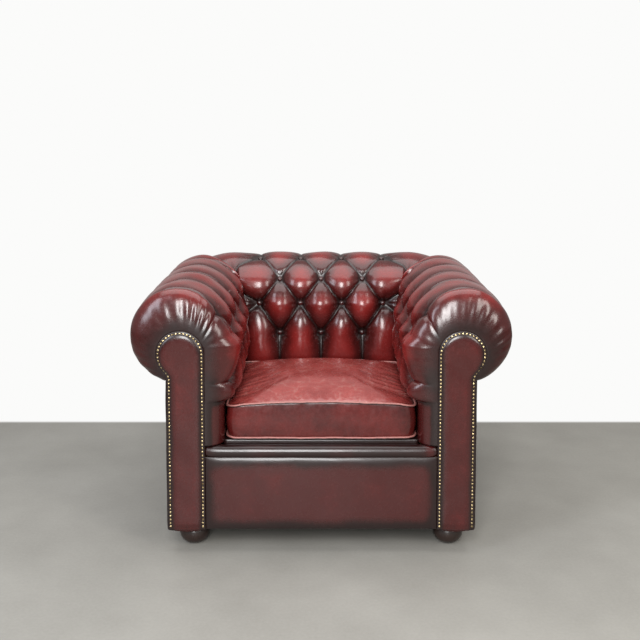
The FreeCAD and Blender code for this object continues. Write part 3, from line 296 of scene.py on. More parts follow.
def planed_wood(name, early, late, roughness, along=(2.0, 30.0, 30.0)):
    """Straight-grained timber: growth bands a few millimetres wide, drawn out along the board."""
    finish, tree, place = blank(name)
    drawn = put(tree, "ShaderNodeMapping", {}, {"Vector": place, "Scale": along}).outputs["Vector"]
    sockets = {"Vector": drawn, "Scale": 6.0, "Detail": 6.0, "Roughness": 0.6, "Distortion": 0.4}
    band = put(tree, "ShaderNodeTexNoise", {}, sockets).outputs["Fac"]
    colour = mixture(tree, band, tone(early), tone(late))
    normal = relief(tree, 0.2, 0.0004, band)
    surface_output(tree, {"Base Color": colour, "Roughness": roughness, "Normal": normal})
    return finish


def woven_cloth(name, warp, weft, pitch):
    """Plain weave: three sets of threads, one along each axis, at the given pitch in metres."""
    finish, tree, place = blank(name)
    sockets = {"Vector": place, "Scale": math.pi / pitch / 10, "Distortion": 0.6}
    threads = []
    for axis in "XYZ":
        wave = {"wave_type": "BANDS", "bands_direction": axis}
        threads.append(put(tree, "ShaderNodeTexWave", wave, sockets).outputs["Fac"])
    crossing = maths(tree, "ADD", maths(tree, "MULTIPLY", threads[0], threads[1]), threads[2])
    colour = mixture(tree, crossing, tone(warp), tone(weft))
    normal = relief(tree, 0.5, 0.0006, crossing)
    surface_output(tree, {"Base Color": colour, "Roughness": 0.9, "Normal": normal})
    return finish


# Meshes from arrays of points


def ease(value):
    """Smooth step: 3x^2 - 2x^3 between 0 and 1, level outside."""
    value = np.clip(value, 0.0, 1.0)
    return value * value * (3.0 - 2.0 * value)


def dome(value):
    """Quarter round: height sqrt(1 - (1 - x)^2) at a share x from its edge."""
    return np.sqrt(np.clip(1.0 - (1.0 - np.clip(value, 0.0, 1.0)) ** 2, 0.0, 1.0))


def ripple(first, second, seed, waves=7):
    """Gentle unevenness: a sum of seeded sine waves of two lengths, from about -1 to 1."""
    chance = np.random.default_rng(seed)
    total = np.zeros(np.broadcast(first, second).shape)
    for _ in range(waves):
        along, across = chance.uniform(-1.0, 1.0, 2) * 2 * math.pi / chance.uniform(0.05, 0.16)
        total += np.sin(first * along + second * across + chance.uniform(0, 2 * math.pi))
    return total / math.sqrt(waves * 2)


def cells(rows, columns, round_rows=False, round_columns=False):
    """Corner numbers of every four-sided face of a grid."""
    number = np.arange(rows * columns).reshape(rows, columns)
    if round_rows:
        number = np.vstack([number, number[:1]])
    if round_columns:
        number = np.hstack([number, number[:, :1]])
    corners = (number[:-1, :-1], number[1:, :-1], number[1:, 1:], number[:-1, 1:])
    return np.stack(corners, axis=-1).reshape(-1, 4)


def piece(name, grids, finish, closed=True, thickness=0.0, round_rows=False, round_columns=False):
    """Object made of one or more grids of points; a grid is (rows, columns, 3) with its crest values."""
    points, faces, crests, start = [], [], [], 0
    for grid, crest in grids:
        rows, columns = grid.shape[:2]
        points.append(grid.reshape(-1, 3))
        crests.append(np.broadcast_to(crest, (rows, columns)).reshape(-1))
        faces.append(cells(rows, columns, round_rows, round_columns) + start)
        start += rows * columns
    mesh = bpy.data.meshes.new(name)
    mesh.from_pydata(np.concatenate(points).tolist(), [], np.concatenate(faces).tolist())
    layer = mesh.attributes.new("crest", "FLOAT", "POINT")
    layer.data.foreach_set("value", np.concatenate(crests).astype(np.float32))
    work = bmesh.new()
    work.from_mesh(mesh)
    bmesh.ops.remove_doubles(work, verts=work.verts, dist=0.00002)
    if closed and not thickness:
        open_edges = [edge for edge in work.edges if edge.is_boundary]
        if open_edges:
            bmesh.ops.holes_fill(work, edges=open_edges, sides=0)
        bmesh.ops.recalc_face_normals(work, faces=work.faces)
    work.to_mesh(mesh)
    work.free()
    mesh.shade_smooth()
    mesh.materials.append(finish)
    made = bpy.data.objects.new(name, mesh)
    bpy.context.scene.collection.objects.link(made)
    if thickness:
        wall = made.modifiers.new("leather", "SOLIDIFY")
        wall.thickness = thickness
        wall.offset = -1.0
    return made


def fit(made, body, slot, *nodes):
    """Let a piece ride on its body and stand for its CAD nodes; the record slot is not used."""
    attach(made, body)
    if nodes:
        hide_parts(*nodes)
    return made


def tube(path, radius, turns, up=(0.0, 0.0, 1.0)):
    """Round profile carried along a path: each ring stands square to the path's direction."""
    along = np.gradient(path, axis=0)
    along /= np.linalg.norm(along, axis=1, keepdims=True)
    side = np.cross(along, up)
    side /= np.linalg.norm(side, axis=1, keepdims=True)
    rise = np.cross(side, along)
    angle = np.linspace(0, 2 * math.pi, turns, endpoint=False)
    radius = np.broadcast_to(radius, (len(path),))[:, None, None]
    ring = side[:, None] * np.cos(angle)[None, :, None] + rise[:, None] * np.sin(angle)[None, :, None]
    return path[:, None] + ring * radius


def turned(profile, place, axis=(0.0, 0.0, 1.0), turns=40):
    """Profile of (radius, height) pairs turned about an axis through a place."""
    profile = np.asarray(profile, float)
    axis = np.asarray(axis, float) / np.linalg.norm(axis)
    helper = np.array([0.0, 1.0, 0.0]) if abs(axis[1]) < 0.8 else np.array([1.0, 0.0, 0.0])
    first = np.cross(axis, helper)
    first /= np.linalg.norm(first)
    second = np.cross(axis, first)
    angle = np.linspace(0, 2 * math.pi, turns, endpoint=False)
    ring = first * np.cos(angle)[:, None] + second * np.sin(angle)[:, None]
    return np.asarray(place) + profile[:, 0, None, None] * ring[None] + profile[:, 1, None, None] * axis


def evenly(line, samples):
    """Evenly spaced points along a flat line of points."""
    step = np.concatenate([[0], np.cumsum(np.linalg.norm(np.diff(line, axis=0), axis=1))])
    places = np.linspace(0, step[-1], samples)
    return np.stack([np.interp(places, step, line[:, i]) for i in range(2)], axis=1)


def smooth_profile(knots, samples):
    """Profile through a few (radius, height) knots, rounded by averaging neighbours of a fine run."""
    run = evenly(np.asarray(knots, float), samples)
    for _ in range(samples // 8):
        run[1:-1] = (run[:-2] + 2 * run[1:-1] + run[2:]) / 4
    return run


# Buttoned rolls and walls
#
# A section runs over the roll and down the wall. Its length s is 0 at the roll's
# inmost line, negative up and over the roll, and positive down the wall. Rows of
# buttons are whole numbers of "row", columns whole numbers of "column", and a
# button stands wherever row and column add up to an even number.


# the wall's two button rows, and where the leather of the arms and of the back tucks in, as lengths s
LOW_ROWS = 0.03, 0.131
ARM_TUCK, BACK_TUCK = 0.181, 0.262
# the roll's button rows, as angles round it from its inmost line
ROLL_ROW, TOP_ROW = math.radians(27), math.radians(75)
# height at which a section ends, and its numbers of points over the roll and down the wall
SECTION_BOTTOM, OVER_COUNT, DOWN_COUNT = 0.302, 112, 84
# thickness of the leather
HIDE, THIN_HIDE = 0.002, 0.0015


def tuft(column, row, rows, crease, first_column=None):
    """Share of the full crown: 0 at buttons, low along the diagonal pleats, 1 in each diamond's middle.

    Pleats run where (column + row) / 2 or (column - row) / 2 is whole. Past the first or last
    row, and past the first column, they run straight on and grow shallow.
    """
    held_row = np.clip(row, 0, rows - 1)
    held_column = column if first_column is None else np.maximum(column, first_column)
    past_row = np.abs(row - held_row) / 2
    past_column = np.abs(column - held_column) / 2
    first = (held_column + held_row) / 2
    second = (held_column - held_row) / 2
    first = np.minimum(0.5, np.hypot(first - np.round(first), past_column))
    second = np.minimum(0.5, np.hypot(second - np.round(second), past_row))
    first, second = np.sin(math.pi * first), np.sin(math.pi * second)
    pillow = (first * second) ** crease
    ridge = 1.0 - (1.0 - first) * (1.0 - second)
    line = np.exp(-((np.minimum(first, second) / 0.1) ** 2))
    return 0.68 * pillow + 0.32 * ridge**0.9 - 0.1 * line, line


def pits(along, s, places, seed):
    """Flat pit round each button, and a ring of small folds that gather into it."""
    pit, ring, ring_width = 0.0142, 0.021, 0.011
    factor = np.ones(np.broadcast(along, s).shape)
    folds = np.zeros_like(factor)
    for number, (x, y) in enumerate(places):
        dx, dy = along - x, s - y
        distance = np.hypot(dx, dy)
        factor = np.minimum(factor, 1.0 - np.exp(-((distance / pit) ** 2.4)))
        angle = np.arctan2(dy, dx)
        fold = np.cos(9 * angle + seed + 1.7 * number) + 0.6 * np.cos(5 * angle + 2.3 * number)
        folds += fold * np.exp(-(((distance - ring) / ring_width) ** 2))
    return factor, folds


def row_number(s, row_places, tuck):
    """Row number of a place along the section; above the rows one row is 80 mm."""
    numbers = np.arange(len(row_places))
    inside = np.interp(s, row_places, numbers)
    above = (s - row_places[0]) / 0.08
    below = len(row_places) - 1 + (s - row_places[-1]) / (tuck - row_places[-1])
    return np.where(s < row_places[0], above, np.where(s > row_places[-1], below, inside))


def full_crown(s, sizes, row_places, tuck):
    """Crown over a section: thin over the roll, full on the wall, rounding off to the tuck."""
    radius = sizes.roll_radius
    start, end = -radius * math.radians(60), 0.045
    crown = sizes.roll_crown + (sizes.wall_crown - sizes.roll_crown) * ease((s - start) / (end - start))
    past = np.clip((s - row_places[-1]) / (tuck - row_places[-1]), 0.0, 1.0)
    return crown * np.sqrt(1.0 - past**4)


def section_grid(sizes, start_angle, lean):
    """Section length, and the place and outward direction of each point of the button line."""
    radius = sizes.roll_radius
    share = np.linspace(0.0, 1.0, OVER_COUNT, endpoint=False)
    over = -radius * start_angle[:, None] * (1.0 - share)[None]
    down = np.linspace(0.0, sizes.roll_height - SECTION_BOTTOM, DOWN_COUNT)
    down = np.broadcast_to(down, (len(start_angle), DOWN_COUNT))
    s = np.concatenate([over, down], axis=1)
    angle = np.maximum(0.0, -s / radius)
    normal_in, normal_up = np.cos(angle), np.sin(angle)
    step_out = (sizes.wall_depth - radius + lean[:, None]) * ease(s / 0.03)
    inward = radius * normal_in + np.where(s > 0, step_out, 0.0)
    height = sizes.roll_height + radius * normal_up - np.maximum(s, 0.0)
    return s, inward, height, normal_in, normal_up


def corner_reach(angle):
    """Stretch of the corner's reach, fullest on the mitre."""
    return 1.0 + 0.15 * np.sin(2 * angle) ** 2


def corner_drop(sizes, angle, height):
    """Drop of the roll's top towards the mitre, where the stuffing is packed down."""
    return 0.012 * (np.sin(2 * angle) ** 4)[:, None] * ease((height - sizes.roll_height) / 0.11)


def under_angle(sizes, angle, panel_reach=0.148):
    """Angle round the roll at which its leather meets the outside panel."""
    reach = panel_reach / np.maximum(np.cos(angle), np.sin(angle)) / corner_reach(angle)
    inward = sizes.corner_radius - reach
    return 2 * math.pi - np.arccos(inward / sizes.roll_radius)


def room_points(sizes, inward, height, along, angle):
    """Points in the chair: straight along Y until the corner, then turned about the corner's axis."""
    axis_x = sizes.roll_side - sizes.corner_radius
    reach = (sizes.corner_radius - inward) * corner_reach(angle)[:, None]
    x = axis_x + np.cos(angle)[:, None] * reach
    y = along[:, None] + np.sin(angle)[:, None] * reach
    return np.stack([x, y, height - corner_drop(sizes, angle, height)], axis=-1)


def arm_rows(sizes):
    """Places of an arm's button rows along its section."""
    return [-sizes.roll_radius * ROLL_ROW, *LOW_ROWS]


def back_rows(sizes):
    """Places of the back's button rows along its section."""
    return [-sizes.roll_radius * TOP_ROW, -sizes.roll_radius * ROLL_ROW, *LOW_ROWS]


def scroll_places(sizes, scroll, s, height):
    """Place on the facing's edge that each point of an arm's section is drawn in to."""
    radius = sizes.roll_radius
    angle = np.maximum(0.0, -s / radius)
    head_in = sizes.roll_side - scroll.inner - scroll.head_radius
    gap, hook_height, end_in = 0.004, 0.4955, -0.028
    edge = scroll.head_radius + gap
    inward = head_in + edge * np.cos(angle)
    up = scroll.head_height + edge * np.sin(angle)
    # past the head's outer side the leather runs down to the hook
    side, last = math.radians(190), 2 * math.pi - math.acos(end_in / radius)
    under = ease((angle - side) / (last - side))
    inward = inward + (sizes.roll_side - scroll.outer - gap - inward) * under
    up = up + (hook_height - up) * under
    # from the first row it runs straight to the stem's inner side
    first, wall = -radius * ROLL_ROW, LOW_ROWS[0]
    share = np.clip((s - first) / (wall - first), 0.0, 1.0)
    start_in = head_in + edge * math.cos(ROLL_ROW)
    start_up = scroll.head_height + edge * math.sin(ROLL_ROW)
    wall_in = sizes.roll_side - scroll.inner + gap
    inward = np.where(s > first, start_in + (wall_in - start_in) * share, inward)
    up = np.where(s > first, start_up + (sizes.roll_height - wall - start_up) * share, up)
    return inward, np.where(s > wall, height, up)


def upholster(sizes, s, length, column, layout, corner_wall, mitre, seed, first_column=None):
    """Stuffed leather: its height over the button line, crest values, pits and share of sunken tuck.

    The height is crown x pillow x pit, with folds and lumps on it. Walls flatten into the back
    corner and the roll flattens into its mitre.
    """
    rows, tuck, places, fade = layout
    row = row_number(s, rows, tuck)
    shape, line = tuft(column, row, len(rows), sizes.crease, first_column)
    groove = 1.0 - 0.4 * ease(-row / fade)
    shape, line = 1.0 - groove * (1.0 - shape), line * groove
    flat, folds = pits(length, s, places, seed)
    crown = full_crown(s, sizes, rows, tuck)
    on_wall = ease((s - rows[-3]) / (rows[-2] - rows[-3]))
    held = mitre * (1 - on_wall * (1 - corner_wall))
    wrinkle = 0.0017 * folds * np.minimum(1.0, crown / 0.03)
    lump = ripple(length, s, seed) * np.minimum(1.0, shape * 1.4) * np.minimum(1.0, crown / 0.015)
    lift = (crown * shape * flat + wrinkle + 0.0016 * lump) * held
    # flat and line pull the crest values down in the button pits and along the pleat creases: painted shade
    # there
    crest = shape * flat * (1 - 0.8 * line) * (0.2 + 0.8 * held)
    sunken = np.where(s > rows[-1], np.sqrt(np.clip(crown / sizes.wall_crown, 0, 1)), 1.0)
    return lift, crest, flat, sunken


def arm_surface(sizes, scroll, seed):
    """Right-hand arm: grid from the front scroll to the back mitre, and its crest values."""
    pitch = sizes.row_pitch
    corner_y = sizes.roll_back - sizes.corner_radius
    nose = scroll.front + scroll.nose_depth * np.linspace(0, 1, 20) ** 2
    straight = np.linspace(scroll.front + scroll.nose_depth, corner_y, 142)[1:]
    angle = np.radians(np.linspace(0, 45, 50))[1:]
    along = np.concatenate([nose, straight, np.full(len(angle), corner_y)])
    turn = np.concatenate([np.zeros(len(nose) + len(straight)), angle])
    last_straight = (corner_y - sizes.front_column) / pitch
    column = (along - sizes.front_column) / pitch
    column = np.where(turn > 0, last_straight + 2 * turn / math.radians(45), column)
    lean = sizes.front_lean * np.clip((corner_y - along) / (corner_y - sizes.front_column), 0, 1)
    s, inward, height, normal_in, normal_up = section_grid(sizes, under_angle(sizes, turn), lean)
    rows = arm_rows(sizes)
    length = (column * pitch)[:, None]
    places = [(c * pitch, rows[r]) for r in range(3) for c in range(8) if (c + r) % 2 == 0]
    corner_wall = np.sqrt(1.0 - np.clip(column - last_straight + 1.0, 0, 1) ** 2)[:, None]
    mitre = 0.4 + 0.6 * dome((last_straight + 2 - column) / 0.9)[:, None]
    layout, columns = (rows, ARM_TUCK, places, 3.5), column[:, None] + 0 * s
    lift, crest, flat, sunken = upholster(sizes, s, length, columns, layout, corner_wall, mitre, seed, 0.0)
    # gathers where the leather is nailed round the facing's head
    depth = (along - scroll.front)[:, None]
    spacing, reach = 0.031, 0.03
    gather = np.cos(2 * math.pi * s / spacing + 2.4 * np.sin(s * 23.0 + seed) + depth * 30)
    gather = np.abs(gather) ** 0.6 * np.sign(gather) * (0.55 + 0.45 * np.sin(s * 17.0 + 2 * seed))
    uneven = 0.55 + 0.45 * np.sin(s * 29.0 + seed) * np.sin(s * 11.0 + 3.0 * seed)
    gather = (0.0021 - 0.0011 * ease((s - 0.03) / 0.05)) * uneven * gather
    gather = gather * np.exp(-((depth / reach) ** 1.6)) * ease(depth / 0.007) * (s < ARM_TUCK)
    total = lift + gather
    full_in, full_up = inward + normal_in * total, height + normal_up * total
    scroll_in, scroll_up = scroll_places(sizes, scroll, s, height)
    fullness = dome((along - scroll.front) / scroll.nose_depth)[:, None]
    inward = scroll_in + (full_in - scroll_in) * fullness
    height = scroll_up + (full_up - scroll_up) * fullness
    grid = room_points(sizes, inward, height, along, turn)
    grid[..., 1] -= 1.1 * gather * (1 - fullness**3)
    # crests are darker where the leather is drawn in to the nails (antiquing wax with painted shade), rubbed
    # on the nose, and darker under the roll (painted shade)
    crest = crest * (0.15 + 0.85 * fullness**1.4)
    nose_wear = 0.8 * ease((fullness - 0.25) / 0.5) * (1 - ease((depth - scroll.nose_depth) / 0.02))
    crest = np.maximum(crest, nose_wear * flat * (0.8 + 0.2 * ripple(length, s, seed)))
    # painted shade: crests darken from 115 degrees round the roll onto its outer side and underside
    crest *= 1 - 0.45 * ease((-s / sizes.roll_radius - math.radians(115)) / math.radians(70))
    crest = np.maximum(crest * sunken, 0.5 * ease((s - ARM_TUCK) / 0.02) * ease((depth - 0.001) / 0.006))
    return grid, crest


def back_surface(sizes, seed):
    """Back: grid from its right-hand mitre to its left-hand one, and its crest values."""
    pitch = sizes.back_pitch
    axis_x = sizes.roll_side - sizes.corner_radius
    axis_y = sizes.roll_back - sizes.corner_radius
    angle = np.radians(np.linspace(45, 90, 50))
    half_straight = np.linspace(axis_x, 0, 70)[1:]
    turn = np.concatenate([angle, np.full(len(half_straight), math.pi / 2)])
    x_line = np.concatenate([np.full(len(angle), axis_x), half_straight])
    turned_share = (math.radians(90) - turn) / math.radians(45)
    past = (x_line - 3 * pitch) / pitch
    straight_column = np.where(past > 0, 4 + 0.5 * past, x_line / pitch + 1)
    at_corner = turn < math.pi / 2 - 1e-9
    column = np.where(at_corner, 4.5 + 0.5 * turned_share, straight_column)
    under = under_angle(sizes, math.pi / 2 - turn)
    s, inward, height, normal_in, normal_up = section_grid(sizes, under, np.zeros(len(turn)))
    rows = back_rows(sizes)
    places = [((c - 1) * pitch, rows[r]) for r in range(4) for c in range(-2, 5) if (c + r) % 2 == 0]
    corner_wall = (np.sqrt(1.0 - np.clip(past, 0, 1) ** 2) * ~at_corner)[:, None]
    mitre = 0.4 + 0.6 * dome((5 - column) / 0.45)[:, None]
    layout, halves = (rows, BACK_TUCK, places, 3.0), []
    for side in (1, -1):
        columns = (column if side == 1 else 2 - column)[:, None] + 0 * s
        length = ((column - 1) * pitch * side)[:, None]
        lift, crest, _, sunken = upholster(sizes, s, length, columns, layout, corner_wall, mitre, seed)
        reach = (sizes.corner_radius - inward - normal_in * lift) * corner_reach(turn)[:, None]
        x = (x_line[:, None] + np.cos(turn)[:, None] * reach) * side
        y = axis_y + np.sin(turn)[:, None] * reach
        up = height + normal_up * lift
        up = up - corner_drop(sizes, turn, up)
        halves.append((np.stack([x, y, up], axis=-1), crest * sunken))
    return tuple(np.concatenate([right, left[-2::-1]]) for right, left in zip(*halves))


BUTTON = [
    (0.0, 0.0064), (0.003, 0.0061), (0.006, 0.005), (0.0083, 0.0032),
    (0.0095, 0.0007), (0.0088, -0.0013), (0.005, -0.005), (0.0, -0.006),
]


def button_grids(places):
    """Covered buttons: one domed profile turned about each button's own direction."""
    profile = smooth_profile(BUTTON, 22)
    profile[:, 0] = np.maximum(profile[:, 0], 0.0)
    profile[0, 0] = profile[-1, 0] = 0.0
    # the buttons are coloured dark, darkest on their undersides: painted shade of the pits they sit in
    crest = np.linspace(0.4, 0.0, len(profile))[:, None]
    return [(turned(profile, place, axis, turns=28), crest) for place, axis in places]


def button_places(sizes, rows, columns, room):
    """Place and outward direction of every button of a buttoned surface."""
    radius = sizes.roll_radius
    found = []
    for r, s in enumerate(rows):
        angle = max(0.0, -s / radius)
        for c in columns:
            if (c + r) % 2 == 0:
                inward = radius * math.cos(angle) + (sizes.wall_depth - radius if s > 0 else 0.0)
                height = sizes.roll_height + radius * math.sin(angle) - max(s, 0.0)
                found.append(room(c, inward, height, angle, s))
    return found


# Operators: one for each piece or group of like pieces


def hide_finish():
    """The antiqued hide shared by all fixed leather."""
    found = bpy.data.materials.get("antiqued_oxblood_hide")
    if found:
        return found
    colours = bpy.context.scene.armchair_finishes
    return antiqued_hide("antiqued_oxblood_hide", colours.recess_wax_and_painted_shade, colours.hide, colours.rubbed)


def leather(name, grids, *nodes, **form):
    """Piece of the fixed leather, which rides on the chair and stands for some of its nodes."""
    made = piece(name, grids, hide_finish(), **form)
    return fit(made, CHAIR, "leather", *nodes)


class ARMCHAIR_OT_arms(bpy.types.Operator):
    """Buttoned leather of both arms, from the front scrolls to the back mitres"""

    bl_idname = "armchair.arms"
    bl_label = "Arms"

    def execute(self, context):
        sizes, scroll = context.scene.armchair_tufts, context.scene.armchair_scrolls
        for side, sign, seed in (("right", 1, 3), ("left", -1, 8)):
            grid, crest = arm_surface(sizes, scroll, seed)
            grid = grid * np.array([sign, 1, 1])
            grid, crest = (grid[::-1], crest[::-1]) if sign == 1 else (grid, crest)
            nodes = f"arm_cover_{side}", f"arm_padding_{side}"
            made = leather(f"arm_leather_{side}", [(grid, crest)], *nodes, thickness=HIDE)
        return {"FINISHED"}


class ARMCHAIR_OT_back(bpy.types.Operator):
    """Buttoned leather of the back between its mitres"""

    bl_idname = "armchair.back"
    bl_label = "Back"

    def execute(self, context):
        grid, crest = back_surface(context.scene.armchair_tufts, 5)
        made = leather("back_leather", [(grid, crest)], "back_cover", "back_padding", thickness=HIDE)
        return {"FINISHED"}


class ARMCHAIR_OT_buttons(bpy.types.Operator):
    """Covered buttons of the arms and back"""

    bl_idname = "armchair.buttons"
    bl_label = "Buttons"

    def execute(self, context):
        sizes = context.scene.armchair_tufts
        corner_y = sizes.roll_back - sizes.corner_radius

        def arm_room(c, inward, height, angle, s):
            y = sizes.front_column + c * sizes.row_pitch
            lean = sizes.front_lean * (corner_y - y) / (corner_y - sizes.front_column) if s > 0 else 0.0
            return (sizes.roll_side - inward - lean, y, height), (-math.cos(angle), 0.0, math.sin(angle))

        def back_room(c, inward, height, angle, s):
            place = ((c - 1) * sizes.back_pitch, sizes.roll_back - inward, height)
            return place, (0.0, -math.cos(angle), math.sin(angle))

        right = button_places(sizes, arm_rows(sizes), range(8), arm_room)
        left = [((-p[0], p[1], p[2]), (-a[0], a[1], a[2])) for p, a in right]
        back = button_places(sizes, back_rows(sizes), range(-2, 5), back_room)
        # one button on each back corner's mitre
        angle = ROLL_ROW
        reach = (sizes.corner_radius - sizes.roll_radius * math.cos(angle)) * 1.15 * math.sqrt(0.5)
        height = sizes.roll_height + sizes.roll_radius * math.sin(angle)
        for sign in (1, -1):
            place = (sign * (sizes.roll_side - sizes.corner_radius + reach), corner_y + reach, height)
            slant = math.cos(angle) * math.sqrt(0.5)
            back.append((place, (-sign * slant, -slant, math.sin(angle))))
        for side, places in (("right", right), ("left", left), ("back", back)):
            leather(f"buttons_{side}", button_grids(places), f"tuft_buttons_{side}", round_columns=True)
        return {"FINISHED"}


def scroll_line(scroll, offset):
    """Facing outline (x, z): up the inner side, over the round head, round the hook and down."""
    inner, outer = scroll.inner - offset, scroll.outer + offset
    head_radius, hook_radius = scroll.head_radius + offset, scroll.hook_radius - offset
    head_x, head_z, hook_x = inner + head_radius, scroll.head_height, outer + hook_radius
    hook_z = head_z - math.sqrt((head_radius + hook_radius) ** 2 - (hook_x - head_x) ** 2)
    meet = math.atan2(hook_z - head_z, hook_x - head_x)
    bottom = 0.0655

    def stem(x, start, end, count):
        return np.stack([np.full(count, x), np.linspace(start, end, count)], axis=1)

    def arc(x, z, radius, start, end, count):
        angle = np.linspace(start, end, count)
        return np.stack([x + radius * np.cos(angle), z + radius * np.sin(angle)], axis=1)

    parts = [
        stem(inner, bottom, head_z, 110)[:-1],
        arc(head_x, head_z, head_radius, math.pi, meet, 120),
        arc(hook_x, hook_z, hook_radius, meet + math.pi, math.pi, 40)[1:],
        stem(outer, hook_z, bottom, 90)[1:],
    ]
    return evenly(np.concatenate(parts), 260)


def facing_surface(scroll, seed):
    """Padded facing: outline drawn to its middle line, flat under the nails and crowned inside."""
    outside, nail_band, join_step = 0.006, 0.0075, 0.012
    line = scroll_line(scroll, outside)
    head_x = scroll.inner + scroll.head_radius
    stem_x = (scroll.inner + scroll.outer) / 2
    # both halves end on the same few points of the middle line, so that they join
    middle_z = np.minimum(np.round(line[:, 1] / join_step) * join_step, scroll.head_height)
    middle_x = stem_x + (head_x - stem_x) * ease((middle_z - 0.44) / 0.117)
    middle = np.stack([middle_x, middle_z], axis=1)
    share = np.linspace(0, 1, 34) ** 1.3
    flat = line[:, None] + (middle - line)[:, None] * share[None, :, None]
    inset = np.linalg.norm(flat - line[:, None], axis=2)
    past = np.maximum(0.0, inset - nail_band)
    rise = 0.5 * (1.0 - np.exp(-past / 0.004)) + 0.5 * dome(past / 0.022)
    soft = ripple(flat[..., 0], flat[..., 1], seed)
    raised = rise * (0.0056 + 0.0007 * soft) * ease((flat[..., 1] - 0.066) / 0.02)
    edge = 0.003 * dome(inset / 0.003)
    front = scroll.front - 0.0003
    grid = np.stack([flat[..., 0], front - edge - raised, flat[..., 1]], axis=-1)
    crest = 0.03 + 0.6 * rise * ease(inset / 0.028)
    return grid, crest


class ARMCHAIR_OT_facings(bpy.types.Operator):
    """Padded scroll facings at the front of the arms"""

    bl_idname = "armchair.facings"
    bl_label = "Facings"

    def execute(self, context):
        scroll = context.scene.armchair_scrolls
        for side, sign in (("right", 1), ("left", -1)):
            grid, crest = facing_surface(scroll, 11 + sign)
            grid = grid * np.array([sign, 1, 1])
            grid, crest = (grid, crest) if sign == 1 else (grid[::-1], crest[::-1])
            made = leather(f"facing_{side}", [(grid, crest)], f"facing_cover_{side}", thickness=THIN_HIDE)
        return {"FINISHED"}


def cushioned_panel(corner, across, up, out, crown, edge, seed, counts=(90, 60)):
    """Softly stuffed panel: corner + across u + up v, raised along out by crown and dropped at its edges."""
    corner, across, up, out = (np.asarray(item, float) for item in (corner, across, up, out))
    width, height = np.linalg.norm(across), np.linalg.norm(up)
    u = (1 - np.cos(np.linspace(0, math.pi, counts[0]))) / 2
    v = (1 - np.cos(np.linspace(0, math.pi, counts[1]))) / 2
    u, v = np.meshgrid(u, v, indexing="ij")
    from_side = np.minimum(u, 1 - u) * width
    from_end = np.minimum(v, 1 - v) * height
    round_off = dome(from_side / edge) * dome(from_end / edge)
    swell = np.sin(math.pi * u) ** 0.5 * np.sin(math.pi * v) ** 0.5
    lift = crown * (0.75 * round_off + 0.25 * swell)
    lift = lift + 0.0006 * ripple(u * width, v * height, seed) * round_off
    grid = corner + across * u[..., None] + up * v[..., None] + out * lift[..., None]
    # crest values fall to dark over the last 50 mm to each edge: painted shade where the panel rounds off
    # against its neighbours
    rubbed = ease(from_side / 0.05) * ease(from_end / 0.05)
    return grid, 0.04 + 0.56 * rubbed


class ARMCHAIR_OT_border(bpy.types.Operator):
    """Leather border and the rolled lip over it"""

    bl_idname = "armchair.border"
    bl_label = "Border and lip"

    def execute(self, context):
        low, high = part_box("front_border_cover")
        corner = low.x, low.y + 0.002, low.z
        across, up = (high.x - low.x, 0, 0), (0, 0, high.z - low.z + 0.008)
        form = {"crown": 0.0095, "edge": 0.036, "seed": 21}
        panel = cushioned_panel(corner, across, up, (0, -1, 0), **form)
        made = leather("border", [panel], "front_border_cover", "front_border_pad", thickness=THIN_HIDE)
        low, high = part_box("front_lip_roll")
        x = np.linspace(low.x + 0.001, high.x - 0.001, 160)
        end = np.exp(-np.minimum(x - low.x, high.x - x) / 0.016)
        height = (low.z + high.z) / 2 + 0.004 * end
        path = np.stack([x, np.full(len(x), (low.y + high.y) / 2), height], axis=1)
        wave = ripple(x, 0 * x, 31)
        radius = (high.z - low.z) / 2 * (1 - 0.22 * end) + 0.0006 * wave
        worn = 0.35 * np.exp(-(((x - high.x + 0.02) / 0.014) ** 2))
        crest = (0.16 + 0.05 * wave + worn)[:, None]
        made = leather("lip", [(tube(path, radius, 36), crest)], "front_lip_roll", round_columns=True)
        return {"FINISHED"}


class ARMCHAIR_OT_panels(bpy.types.Operator):
    """Outside panels of the arms and back, and the leather deck under the cushion"""

    bl_idname = "armchair.panels"
    bl_label = "Outside panels and deck"

    def execute(self, context):
        outside = {"crown": 0.005, "edge": 0.012}
        for side, sign in (("right", 1), ("left", -1)):
            node = f"outside_arm_panel_{side}"
            low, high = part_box(node)
            x, y, end = (low.x, low.y, high.y) if sign == 1 else (high.x, high.y, low.y)
            corner, up = (x + sign * 0.002, y, low.z), (0, 0, high.z - low.z)
            across = (0, end - y, 0)
            panel = cushioned_panel(corner, across, up, (sign, 0, 0), seed=40 + sign, **outside)
            leather(f"outside_arm_{side}", [panel], node, thickness=THIN_HIDE)
        low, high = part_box("outside_back_panel")
        corner, up = (high.x, low.y + 0.002, low.z), (0, 0, high.z - low.z)
        panel = cushioned_panel(corner, (low.x - high.x, 0, 0), up, (0, 1, 0), seed=44, **outside)
        leather("outside_back", [panel], "outside_back_panel", thickness=THIN_HIDE)
        low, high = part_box("deck_cover")
        across, deep = (high.x - low.x, 0, 0), (0, high.y - low.y, 0)
        form = {"crown": 0.0018, "edge": 0.03, "seed": 47}
        panel = cushioned_panel((low.x, low.y, low.z), across, deep, (0, 0, 1), **form)
        # a skirt of deck leather drops down in front, coloured almost at the darkest: painted shade of the
        # crevice under the cushion
        drop = np.linspace(-0.001, 0.024, 6)
        x, drop = np.meshgrid(np.linspace(low.x, high.x, 60), drop, indexing="ij")
        y = low.y + 0.0005 - 0.0012 * np.sin(np.pi * drop / 0.024) ** 2
        skirt = np.stack([x, y, low.z - drop], axis=-1)
        made = leather("deck", [panel, (skirt, 0.05)], "deck_cover", "deck_pad", thickness=0.001)
        return {"FINISHED"}


